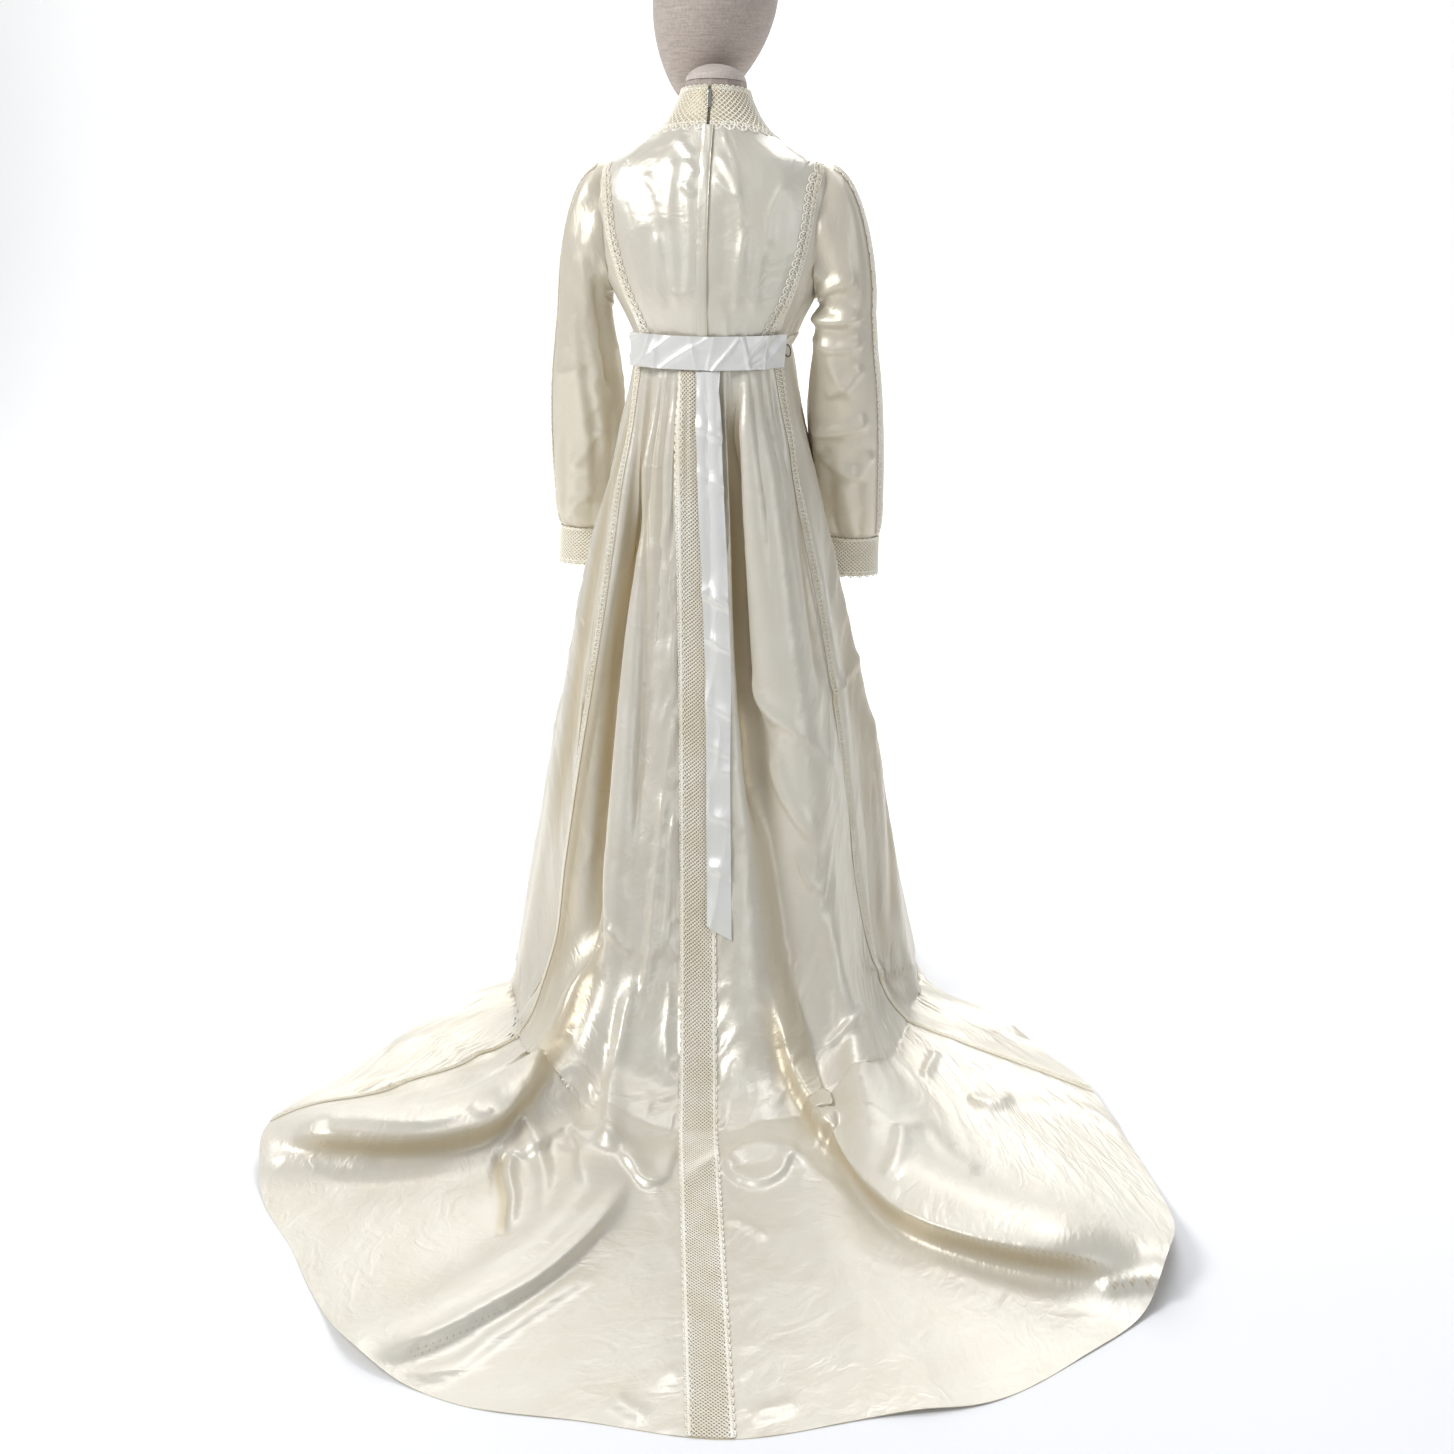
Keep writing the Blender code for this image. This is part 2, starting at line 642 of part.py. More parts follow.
def make_waist_lace():
    rows = np.array([WAIST + 4 * GAP, WAIST_LACE_TOP])
    around = ring_columns(rows)
    heights = rows[:, None]
    outer = off_figure(around, heights, WALL + GAP + LACE)
    add_wall("lace_waist", outer, off_figure(around, heights, WALL + GAP), "lace", tube=True)


def make_placket():
    rows = bodice_rows()
    rows = rows[rows > WAIST_LACE_TOP - 1e-6].copy()
    half = bodice_columns(rows)[:, PLACKET_COLUMNS]
    rows[0] += GAP
    rows[-1] -= GAP
    angles = np.concatenate([-half[:, ::-1], half[:, 1:]], axis=1)
    heights = rows[:, None]
    outer = off_figure(angles, heights, WALL + GAP + PLACKET)
    add_wall("zip_placket", outer, off_figure(angles, heights, WALL + GAP), "satin")


def make_collar():
    rows = np.array([NECKLINE + GAP, *COLLAR_ROWS, COLLAR_TOP])
    angles = np.repeat(ring_columns(np.array([NECKLINE])), len(rows), axis=0)
    slit = degrees_for(ZIP_SLIT_HALF, 0.0, rows)[:, None]
    angles = np.concatenate([slit, angles[:, 1:], 360.0 - slit], axis=1)
    heights = rows[:, None]
    add_wall("collar", off_figure(angles, heights, WALL), off_figure(angles, heights, 0.0), "lace")


def sleeve_ring(turn, height):
    """A ring of the hanging sleeve. turn is 0 on the outer side and grows towards the back."""
    heights = column(SLEEVE, 0)[::-1]
    centre_x, centre_y, half_width, half_depth = (
        smooth(height, heights, column(SLEEVE, k)[::-1]) for k in range(1, 5)
    )
    x = centre_x + half_width * np.cos(turn)
    y = centre_y - half_depth * np.sin(turn)
    return np.stack(np.broadcast_arrays(x, y, height), axis=-1)


def sleeve_top(turn):
    """The armhole's edge, a seam's gap inside it."""
    middle = (SHOULDER + ARMPIT) / 2
    half = (SHOULDER - ARMPIT) / 2
    height = middle + half * np.cos(turn)
    edge = armhole_edge(height)
    edge_point = off_figure(90.0 - np.sign(np.sin(turn)) * edge, height, WALL)
    centre = edge_point.mean(axis=tuple(range(edge_point.ndim - 1)))
    return edge_point + 2 * GAP * unit(centre - edge_point)


def sleeve(turn, t):
    """The right sleeve's outer face: t runs from the armhole, 0, to the cuff, 1."""
    turn, t = np.broadcast_arrays(turn, t)
    top = sleeve_top(turn)
    ring_top = sleeve_ring(turn, np.full_like(t, SLEEVE[0][0]))
    upper = 0.5 + 0.5 * np.cos(turn)
    out = np.stack([np.ones_like(t), -0.22 * np.sin(turn), 0.30 * upper], axis=-1)
    first = top + (0.010 + 0.045 * upper)[..., None] * unit(out)
    second = ring_top + (0.012 + 0.085 * upper)[..., None] * np.array([0.0, 0.0, 1.0])
    head = np.clip(t / HEAD_SHARE, 0, 1)[..., None]
    bend = (1 - head) ** 3 * top + 3 * (1 - head) ** 2 * head * first
    bend = bend + 3 * (1 - head) * head**2 * second + head**3 * ring_top
    down = np.clip((t - HEAD_SHARE) / (1 - HEAD_SHARE), 0, 1)
    height = SLEEVE[0][0] + (SLEEVE[-1][0] - SLEEVE[0][0]) * down
    hanging = sleeve_ring(turn, height)
    point = np.where((t < HEAD_SHARE)[..., None], bend, hanging)
    gather = smooth(t, (0, 0.02, 0.1, 0.3, 0.62, 0.85, 0.97, 1.0), (0, 0.3, 0.35, 0.1, 0.35, 1, 0.7, 0.25))
    plain = 1 - np.exp(-((np.sin(turn / 2) / 0.16) ** 2))
    wave = SLEEVE_GATHER * gather * plain * np.cos(turn * SLEEVE_COLUMNS / 2)
    outwards = np.stack([np.cos(turn), -np.sin(turn), np.zeros_like(t)], axis=-1)
    return point + wave[..., None] * outwards


def off_sleeve(turn, t, distance):
    out = normals(sleeve, turn, t, 0.03, 0.008, (0.0, 1.0))
    return sleeve(turn, t) + distance * out


def swayed(points):
    """Points of a hanging sleeve, moved to the left as far as they are below the armhole."""
    below = np.clip((ARMPIT - points[..., 2]) / (ARMPIT - CUFF_FOOT), 0, 1)
    moved = points.copy()
    moved[..., 0] -= SLEEVE_SWAY * below
    return moved


def make_sleeves():
    turn = np.linspace(0, 2 * math.pi, SLEEVE_COLUMNS, endpoint=False)[None, :]
    rows = np.array(SLEEVE_ROWS)[:, None]
    outer = off_sleeve(turn, rows, 0.0)
    inner = off_sleeve(turn, rows, -WALL)
    step = 2 * math.pi / SLEEVE_COLUMNS
    strip = np.array([-step, 0.0, step])[None, :]
    strip_rows = rows[1:].copy()
    strip_rows[-1] -= 0.004
    strip_outer = off_sleeve(strip, strip_rows, GAP + LACE)
    strip_inner = off_sleeve(strip, strip_rows, GAP)
    last = SLEEVE[-1][0]
    cuff_heights = np.array([last - GAP, (last + CUFF_FOOT) / 2, CUFF_FOOT])[:, None]
    flare = np.linspace(1, CUFF_FLARE, 3)[:, None, None]
    ring = sleeve_ring(turn, np.full_like(cuff_heights, last))
    centre = ring.mean(axis=1, keepdims=True)
    cuff_inner = centre + (ring - centre) * flare
    cuff_inner[..., 2] = cuff_heights
    cuff_outer = cuff_inner + LACE * unit((ring - centre) * np.array([1.0, 1.0, 0.0]))
    for side, place in (("right", swayed), ("left", lambda points: swayed(mirrored(points)))):
        add_wall(f"sleeve_{side}", place(outer), place(inner), "satin", tube=True)
        add_wall(f"lace_sleeve_{side}", place(strip_outer), place(strip_inner), "lace")
        add_wall(f"cuff_{side}", place(cuff_outer), place(cuff_inner), "lace", tube=True)


def panel_columns(panel, s):
    """The u of each column of a panel at each row; s is a column of rows."""
    _, first, starts, ends, inner, _ = panel
    reach_start = reach_per_panel(first + SEAM_STEP, s)
    reach_end = reach_per_panel(first + 1 - SEAM_STEP, s)
    begin, end = inner_span(panel, s)
    left = [first + max(d, GAP / 2) / reach_start for d in starts[:-1]]
    right = [first + 1 - max(d, GAP / 2) / reach_end for d in ends[1:]]
    if len(starts) == 1:
        begin = begin + GAP / 2 / reach_start
    if len(ends) == 1:
        end = end - GAP / 2 / reach_end
    middle = [begin + (end - begin) * k / inner for k in range(inner + 1)]
    return np.concatenate(left + middle + right, axis=1)


def make_skirt():
    s = np.array(SKIRT_ROWS)[:, None]
    for panel in PANELS:
        u = panel_columns(panel, s)
        add_wall(panel[0], off_skirt(u, s, 0.0), off_skirt(u, s, -WALL), "satin")


def lace_over_seam(name, seam, distances, start):
    """A lace strip over a skirt seam, on the panels' own columns."""
    s = np.array(SKIRT_ROWS[1:])[:, None]
    s[0] = start
    before = reach_per_panel(seam - SEAM_STEP, s)
    after = reach_per_panel(seam + SEAM_STEP, s)
    u = np.concatenate([seam + d / (before if d < 0 else after) for d in distances], axis=1)
    outer = off_skirt(u, s, GAP + LACE)
    inner = off_skirt(u, s, GAP)
    return add_wall(name, outer, inner, "lace")


def make_skirt_lace():
    half = (CENTRE_LACE_QUARTER, CENTRE_LACE_HALF)
    wide = (-half[1], -half[0], 0.0, *half)
    narrow = (-SEAM_LACE_HALF, 0.0, SEAM_LACE_HALF)
    lace_over_seam("lace_centre_back", 0, wide, LACE_START)
    lace_over_seam("lace_side_right", 1, narrow, LACE_START)
    lace_over_seam("lace_side_left", 4, narrow, LACE_START)


def make_streamer():
    s = np.array(SKIRT_ROWS[1 : STREAMER_END_ROW + 1])[:, None]
    s[0] = LACE_START
    after = reach_per_panel(SEAM_STEP, s)
    u = np.concatenate([d / after for d in TO_STREAMER], axis=1)
    low = 2 * GAP + LACE
    add_wall("bow_streamer", off_skirt(u, s, low + RIBBON), off_skirt(u, s, low), "ribbon")


def make_bow_band():
    angles = np.linspace(BOW_LEFT_DEG, BOW_RIGHT_DEG, 15)
    share = np.clip(angles / np.where(angles < 0, BOW_LEFT_DEG, BOW_RIGHT_DEG), 0, 1) ** 3
    proud = 0.0008 + share * np.where(angles < 0, BOW_PROUD_LEFT, BOW_PROUD_RIGHT)
    seams = (SEAMS[4][1] - 360.0, SEAMS[0][1], SEAMS[1][1])
    u = np.interp(angles, seams, (-1.0, 0.0, 1.0))
    low = GAP + LACE + GAP
    top = off_figure(angles, BOW_TOP, WALL + low)
    out = unit(top * np.array([1.0, 1.0, 0.0]))
    foot = skirt_base(u, np.full_like(u, BOW_ROW)) + BOW_FOOT_CLEAR * out
    foot[:, 2] = BOW_FOOT
    middle = (top + foot) / 2
    inner = np.stack([top, middle, foot]) + proud[None, :, None] * out
    add_wall("bow_band", inner + BAND * out, inner, "ribbon")


def collar_frame():
    """A point on the collar's outer face at the centre back, the way out of it and the way down it."""
    heights = SLIDER_HEIGHT + np.array([0.0, 0.008, -0.008])
    point, higher, lower = (Vector(p) for p in off_figure(np.zeros(3), heights, WALL + GAP))
    down = (lower - higher).normalized()
    out = down.cross(Vector((1.0, 0.0, 0.0))).normalized()
    return point, out, down


def make_zip():
    """The slider rides at the top of the collar; its pull is a plate with its origin on the hinge."""
    point, out, down = collar_frame()
    turn = (-math.atan2(-down.y, -down.z), 0.0, 0.0)
    depth = SLIDER_SIZE[1]
    slider = box_object("zip_slider", SLIDER_SIZE, point + out * (depth / 2 + GAP), turn)
    round_edges(slider, 0.0006)
    lug_depth = PIN_OUT - depth + PIN_RADIUS
    lug_size = (LUG_WIDTH, lug_depth + 2 * LUG_SUNK, 2 * PIN_RADIUS)
    lug = box_object("slider_lug", lug_size, point + out * (GAP + depth + lug_depth / 2 - LUG_SUNK), turn)
    join = slider.modifiers.new("lug", "BOOLEAN")
    join.operation = "UNION"
    join.object = lug
    hide_helper(lug)
    below_pin = PIN_RADIUS + PULL_CLEAR + PULL_LENGTH / 2
    pull_size = (PULL_WIDTH, PULL_THICK, PULL_LENGTH)
    pull = box_object("zip_pull", pull_size, point + out * (GAP + PIN_OUT), turn, (0.0, 0.0, -below_pin))
    round_edges(pull, 0.0004)


def box_object(name, size, centre, turn, inside=(0.0, 0.0, 0.0)):
    """A nickel box with its origin at centre; inside moves the box away from the origin."""
    shape = bmesh.new()
    bmesh.ops.create_cube(shape, size=1.0)
    bmesh.ops.scale(shape, vec=Vector(size), verts=shape.verts)
    bmesh.ops.translate(shape, vec=Vector(inside), verts=shape.verts)
    mesh = bpy.data.meshes.new(name)
    shape.to_mesh(mesh)
    shape.free()
    obj = add_object(name, mesh, "nickel")
    obj.location = centre
    obj.rotation_euler = turn
    return obj


def round_edges(obj, width):
    bevel = obj.modifiers.new("rounded edges", "BEVEL")
    bevel.width = width
    bevel.segments = 2


def hide_helper(obj):
    PARTS.objects.unlink(obj)
    CUTTERS.objects.link(obj)
    obj.hide_render = True
    obj.display_type = "WIRE"


def turned(name, profile, finish, segments):
    """A turned piece; the profile lists radius and height down its outer side."""
    mesh = bpy.data.meshes.new(name)
    points = [(radius, 0.0, height) for radius, height in profile]
    mesh.from_pydata(points, [(k, k + 1) for k in range(len(points) - 1)], [])
    obj = add_object(name, mesh, finish)
    screw = obj.modifiers.new("turn", "SCREW")
    screw.steps = segments
    screw.render_steps = segments
    screw.use_merge_vertices = True
    screw.merge_threshold = 0.0001
    screw.use_smooth_shade = True
    return obj


def form_rings():
    """Rings inside the bodice, on some of its own columns and rows, with flat plates at the armholes."""
    beside = armhole_heights()[3:-1:3]
    rows = [*column(FIGURE, 0)[:4], WAIST, WAIST_LACE_TOP, BODICE_LOW_ROW, ARMPIT, *beside]
    rows += [SHOULDER, *SHOULDER_ROWS, NECKLINE, *COLLAR_ROWS, COLLAR_TOP, FORM_TOP]
    rings = []
    for height in rows:
        half = bodice_columns(np.array([np.clip(height, WAIST, NECKLINE)]))[0]
        start, inner, outer, edge = half[0], half[4], half[6], min(half[-1], 90.0 - PLATE_HALF_DEG)
        quarter = np.array([start, inner / 2, inner, outer, edge])
        angles = np.concatenate([quarter, 180.0 - quarter[::-1]])
        angles = np.concatenate([angles, 360.0 - angles[-2:0:-1]])
        rings.append(off_figure(angles, np.full_like(angles, height), -EASE))
    return rings


def make_form():
    turned(
        "form_base",
        [
            (0.0, BASE_HEIGHT + SOCKET_HEIGHT),
            (SOCKET_RADIUS - 0.003, BASE_HEIGHT + SOCKET_HEIGHT),
            (SOCKET_RADIUS, BASE_HEIGHT + SOCKET_HEIGHT - 0.003),
            (SOCKET_RADIUS, BASE_HEIGHT),
            (BASE_RADIUS - 0.006, BASE_HEIGHT),
            (BASE_RADIUS, BASE_HEIGHT - 0.005),
            (BASE_RADIUS, 0.0),
            (0.0, 0.0),
        ],
        "steel",
        30,
    )
    pole_low = BASE_HEIGHT + SOCKET_HEIGHT + GAP
    pole_high = FORM_FOOT - GAP
    turned(
        "form_pole",
        [(0.0, pole_high), (POLE_RADIUS, pole_high), (POLE_RADIUS, pole_low), (0.0, pole_low)],
        "steel",
        20,
    )
    add_loft("form_torso", form_rings(), "linen")
    make_neck_cap()
    make_head()


def cap_rings(grow):
    """Rings of the neck cap, a low dome on the form's top, grown outwards by a distance."""
    height, half_width, _, _, centre_y, tilt = FIGURE[-1]
    angles = np.radians(np.arange(0.0, 360.0, CAP_STEP_DEG))
    rings = []
    for level in np.radians(CAP_LEVELS_DEG):
        radius = (half_width - EASE + grow) * math.cos(level)
        rise = (NECK_CAP_HEIGHT + grow) * math.sin(level) + GAP
        y = centre_y - radius * np.cos(angles)
        z = height + rise - tilt * (y - centre_y)
        rings.append(np.stack([radius * np.sin(angles), y, z], axis=1))
    return rings


def make_neck_cap():
    add_loft("form_neck", cap_rings(0.0), "cap linen")


def make_head():
    """An egg head, hollowed where it sits over the neck cap and passes the collar."""
    egg = bmesh.new()
    bmesh.ops.create_uvsphere(egg, u_segments=20, v_segments=12, radius=1.0)
    for vert in egg.verts:
        taper = 1.0 + 0.16 * vert.co.z - 0.10 * vert.co.z**2
        vert.co.x *= HEAD_SIZE[0] * taper
        vert.co.y *= HEAD_SIZE[1] * taper
        vert.co.z *= HEAD_SIZE[2]
    mesh = bpy.data.meshes.new("form_head")
    egg.to_mesh(mesh)
    egg.free()
    mesh.shade_smooth()
    head = add_object("form_head", mesh, "linen")
    head.location = HEAD_CENTRE
    head.rotation_euler = [math.radians(HEAD_TILT_DEG[0]), math.radians(HEAD_TILT_DEG[1]), 0.0]
    around = np.arange(0.0, 360.0, CAP_STEP_DEG)
    collar = [off_figure(around, height, WALL + HEAD_CLEAR) for height in (*COLLAR_ROWS, COLLAR_TOP)]
    cutter = add_loft("neck_cutter", collar + cap_rings(GAP), "linen")
    cut = head.modifiers.new("seat", "BOOLEAN")
    cut.operation = "DIFFERENCE"
    cut.object = cutter
    hide_helper(cutter)


clear_scene()
PARTS = new_collection("wedding_dress_on_form")
CUTTERS = new_collection("cutters")
MATERIALS = make_finishes()
make_form()
make_bodice()
make_bodice_lace()
make_waist_lace()
make_placket()
make_collar()
make_zip()
make_sleeves()
make_skirt()
make_skirt_lace()
make_streamer()
make_bow_band()
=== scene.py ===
"""The looks of a satin and lace wedding gown with a long train, on a limbless dress form.

The file is laid out as an add-on and is run as a script. Metres, +Z up, in the frame of the solids: the
form's chest looks along +Y, the train runs out towards -Y, and angles run round from the centre back
towards +X. On the skirt, u counts panels round from the centre back and s runs from waist, 0, to hem, 1.
"""

import math

import bmesh
import bpy
import numpy as np
from mathutils import Euler, Matrix, Vector


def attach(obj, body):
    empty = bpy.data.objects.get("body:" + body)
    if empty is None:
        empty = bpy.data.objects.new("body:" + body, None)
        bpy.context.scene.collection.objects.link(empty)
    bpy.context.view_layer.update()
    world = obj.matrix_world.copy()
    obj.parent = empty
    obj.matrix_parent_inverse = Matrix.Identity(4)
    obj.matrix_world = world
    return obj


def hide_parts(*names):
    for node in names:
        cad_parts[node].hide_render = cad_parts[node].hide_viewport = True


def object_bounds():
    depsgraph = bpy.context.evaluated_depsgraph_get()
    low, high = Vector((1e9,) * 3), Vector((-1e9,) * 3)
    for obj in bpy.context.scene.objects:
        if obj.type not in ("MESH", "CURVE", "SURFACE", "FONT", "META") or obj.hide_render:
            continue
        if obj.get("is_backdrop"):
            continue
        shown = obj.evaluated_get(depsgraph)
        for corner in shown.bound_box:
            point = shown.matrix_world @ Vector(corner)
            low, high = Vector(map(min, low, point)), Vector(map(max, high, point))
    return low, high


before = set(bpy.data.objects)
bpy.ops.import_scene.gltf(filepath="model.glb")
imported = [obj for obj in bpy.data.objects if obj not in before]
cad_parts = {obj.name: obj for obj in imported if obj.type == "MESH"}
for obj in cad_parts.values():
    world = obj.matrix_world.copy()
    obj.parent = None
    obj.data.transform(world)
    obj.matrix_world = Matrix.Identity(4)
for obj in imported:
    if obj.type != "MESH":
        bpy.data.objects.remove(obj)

bl_info = {
    "name": "Wedding gown with a train",
    "version": (1, 0, 0),
    "blender": (4, 5, 0),
    "location": "3D View > Sidebar > Gown",
    "description": "Satin, lace, bow, zip and dress form of a long-sleeved wedding gown",
    "category": "Object",
}

CAD_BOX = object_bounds()
GOWN = "gown_on_form"
PULL = "zip_pull"

# Camera, in the photograph's square frame
PHOTO_SIDE = 1454
CAMERA_TURN_DEG = 10.0
CAMERA_DIP_DEG = 19.2
CAMERA_AWAY = 2.856
CAMERA_HEIGHT = 1.428
CAMERA_ASIDE = 0.01836
LENS_MM = 44.57
SENSOR_MM = 36.0

# Sizes that the solids share
WALL = 0.0012
GAP = 0.0003
LACE = 0.0012
RIBBON = 0.0014
BAND = 0.0026
PLACKET = 0.0014
EASE = 0.0019
WAIST = 1.071
WAIST_LACE_TOP = 1.089
ARMPIT = 1.150
SHOULDER = 1.335
NECKLINE = 1.371
COLLAR_TOP = 1.440
CENTRE_LACE_HALF = 0.029
SEAM_LACE_HALF = 0.012
STREAMER_WIDTH = 0.038
STREAMER_SHARE = 0.48
PLACKET_HALF = 0.008
ZIP_SLIT_HALF = 0.0022
LACE_START = 0.0164
BACK_LENGTH = 1.8
SEAM_STEP = 0.006
LACE_LIFT = 0.0014
# Shares of the painted shade colour: under lace, in the valleys of the drape, and all over the sleeves
LACE_SHADE = 0.42
VALLEY_SHADE = 0.55
SLEEVE_PAINTED_SHADE = 0.25
STRIP_STEP = 0.004

# height, half_width, back_depth, front_depth, centre_y, tilt
FIGURE = [
    (0.840, 0.141, 0.100, 0.102, 0.000, 0.00),
    (0.900, 0.132, 0.095, 0.099, 0.000, 0.00),
    (0.960, 0.118, 0.091, 0.095, 0.000, 0.00),
    (1.010, 0.112, 0.094, 0.099, 0.000, 0.00),
    (1.071, 0.1185, 0.1045, 0.112, 0.000, 0.00),
    (1.110, 0.136, 0.110, 0.129, 0.000, 0.00),
    (1.150, 0.1570, 0.113, 0.139, 0.000, 0.00),
    (1.200, 0.1735, 0.110, 0.129, 0.000, 0.00),
    (1.250, 0.182, 0.103, 0.109, 0.000, 0.00),
    (1.290, 0.184, 0.094, 0.093, 0.000, 0.03),
    (1.315, 0.179, 0.087, 0.084, 0.002, 0.08),
    (1.335, 0.162, 0.079, 0.078, 0.004, 0.15),
    (1.350, 0.134, 0.071, 0.072, 0.005, 0.22),
    (1.362, 0.110, 0.065, 0.067, 0.006, 0.30),
    (1.371, 0.0955, 0.061, 0.062, 0.007, 0.36),
    (1.385, 0.080, 0.056, 0.057, 0.008, 0.36),
    (1.400, 0.069, 0.053, 0.054, 0.009, 0.33),
    (1.420, 0.058, 0.050, 0.051, 0.010, 0.28),
    (1.440, 0.0505, 0.048, 0.049, 0.011, 0.20),
    (1.452, 0.048, 0.047, 0.048, 0.012, 0.15),
]
ARMHOLE_DEG = 28.0
ARMHOLE_ROUND = 0.45

# height, outer_deg, inner_deg
BODICE_LACE = [
    (1.071, 52.0, 40.0),
    (1.150, 55.0, 45.0),
    (1.200, 57.0, 47.5),
    (1.250, 59.5, 50.0),
    (1.290, 62.0, 51.5),
    (1.315, 68.0, 56.0),
    (1.335, 86.0, 68.0),
    (1.350, 82.0, 66.0),
    (1.371, 78.0, 62.0),
]

# height, centre_x, centre_y, half_width, half_depth
SLEEVE = [
    (1.120, 0.207, 0.004, 0.042, 0.054),
    (1.060, 0.207, 0.012, 0.049, 0.059),
    (1.000, 0.208, 0.026, 0.056, 0.061),
    (0.940, 0.211, 0.042, 0.058, 0.060),
    (0.880, 0.215, 0.060, 0.057, 0.058),
    (0.820, 0.219, 0.080, 0.054, 0.055),
    (0.780, 0.223, 0.094, 0.050, 0.049),
    (0.760, 0.226, 0.100, 0.045, 0.040),
    (0.749, 0.228, 0.103, 0.0405, 0.030),
]
SLEEVE_SWAY = 0.018
SLEEVE_GATHERS = 8
SLEEVE_GATHER = 0.0035
HEAD_SHARE = 0.26
CUFF_FOOT = 0.686
CUFF_FLARE = 1.06
SLEEVE_LACE_HALF_DEG = 22.5

# name, waist_deg, land_deg, hem_deg
SEAMS = [
    ("centre_back", -5.0, 7.5, 10.0),
    ("side_back_right", 58.0, 62.0, 61.0),
    ("side_front_right", 130.0, 136.0, 140.0),
    ("side_front_left", 230.0, 224.0, 220.0),
    ("side_back_left", 302.0, 324.0, 322.0),
    ("centre_back", 355.0, 367.5, 370.0),
]
# angle_deg, landing_radius, hem_radius
FLOOR = [
    (-180, 0.335, 0.336),
    (-140, 0.335, 0.336),
    (-110, 0.338, 0.340),
    (-90, 0.338, 0.342),
    (-72, 0.342, 0.352),
    (-62, 0.350, 0.390),
    (-56, 0.362, 0.470),
    (-50, 0.378, 0.570),
    (-45, 0.395, 0.670),
    (-41, 0.412, 0.760),
    (-38, 0.425, 0.868),
    (-34, 0.445, 0.925),
    (-30, 0.465, 0.962),
    (-23, 0.495, 1.014),
    (-18, 0.515, 1.072),
    (-12, 0.535, 1.142),
    (-5, 0.550, 1.180),
    (3, 0.560, 1.182),
    (11, 0.560, 1.202),
    (19, 0.548, 1.182),
    (26, 0.530, 1.186),
    (33, 0.508, 1.150),
    (40, 0.480, 1.112),
    (45, 0.460, 1.062),
    (53, 0.425, 0.893),
    (61, 0.398, 0.736),
    (68, 0.380, 0.610),
    (76, 0.365, 0.468),
    (84, 0.356, 0.388),
    (95, 0.350, 0.354),
    (115, 0.343, 0.345),
    (140, 0.337, 0.338),
    (180, 0.335, 0.336),
]
SIDE_LANDING = 0.350
BACK_LANDING = 0.560
LAID_FULL = 0.22
SLACK = 1.03
# along, back_drop, back_spread, side_spread, front_spread
FALL = [
    (0.000, 0.000, 0.000, 0.000, 0.000),
    (0.085, 0.095, 0.036, 0.060, 0.055),
    (0.170, 0.190, 0.079, 0.150, 0.115),
    (0.385, 0.430, 0.191, 0.390, 0.300),
    (0.560, 0.620, 0.326, 0.575, 0.480),
    (0.704, 0.774, 0.460, 0.730, 0.650),
    (0.829, 0.898, 0.618, 0.860, 0.800),
    (0.921, 0.969, 0.798, 0.940, 0.905),
    (1.000, 1.000, 1.000, 1.000, 1.000),
]
FOLD_STATIONS = (0.0, 0.30, 0.55, 0.78, 1.0)
# angle_deg at the stations, width_waist, width_hem, height_mm at the stations, lean
FOLDS = [
    ((-33, -24, -17, -23, -38), 0.016, 0.078, (4, 20, 34, 44, 36), 0.25),
    ((-58, -46, -40, -42, -50), 0.018, 0.050, (3, 16, 20, 12, 10), 0.0),
    ((-12, -11, -7, -3, -12), 0.014, 0.060, (3, 8, 9, 24, 16), -0.2),
    ((17, 18, 17, 20, 22), 0.015, 0.055, (3, 9, 10, 8, 6), 0.0),
    ((35, 42, 44, 33, 44), 0.018, 0.074, (5, 24, 30, 44, 44), -0.45),
    ((60, 64, 68, 60, 62), 0.018, 0.045, (3, 12, 15, 10, 12), 0.0),
    ((84, 86, 86, 78, 74), 0.018, 0.040, (3, 12, 16, 18, 14), 0.0),
    ((104, 106, 108, 110, 110), 0.018, 0.040, (2, 7, 12, 14, 12), 0.0),
    ((126, 128, 130, 132, 132), 0.018, 0.044, (3, 12, 16, 18, 16), 0.0),
    ((152, 154, 156, 158, 158), 0.018, 0.044, (3, 11, 15, 17, 16), 0.0),
    ((180, 181, 182, 183, 183), 0.018, 0.044, (3, 10, 14, 16, 15), 0.0),
    ((207, 206, 207, 208, 208), 0.018, 0.044, (3, 11, 15, 17, 16), 0.0),
    ((233, 232, 230, 230, 230), 0.018, 0.044, (3, 12, 16, 18, 16), 0.0),
    ((256, 254, 252, 250, 250), 0.018, 0.040, (2, 7, 12, 14, 12), 0.0),
    ((276, 275, 274, 276, 278), 0.018, 0.040, (3, 12, 16, 18, 14), 0.0),
    ((295, 292, 293, 298, 302), 0.018, 0.040, (3, 10, 12, 12, 16), 0.0),
]
# angle_deg at the stations, width_waist, width_hem, depth_mm at the stations
CHANNELS = [
    ((-44, -34, -27, -30, -44), 0.012, 0.040, (3, 16, 12, 0, 0)),
    ((24, 28, 32, 27, 33), 0.012, 0.045, (4, 18, 13, 0, 0)),
    ((-22, -17, -12, -12, -20), 0.010, 0.030, (2, 6, 4, 0, 0)),
]
# angle_deg, along, half_length, half_breadth, height_mm
POOLS = [
    (-5.0, 0.700, 0.085, 0.022, 15),
    (14.0, 0.690, 0.080, 0.022, 13),
    (-14.0, 0.735, 0.070, 0.020, 13),
    (27.0, 0.680, 0.060, 0.020, 12),
]
WAIST_GATHER = 0.0030
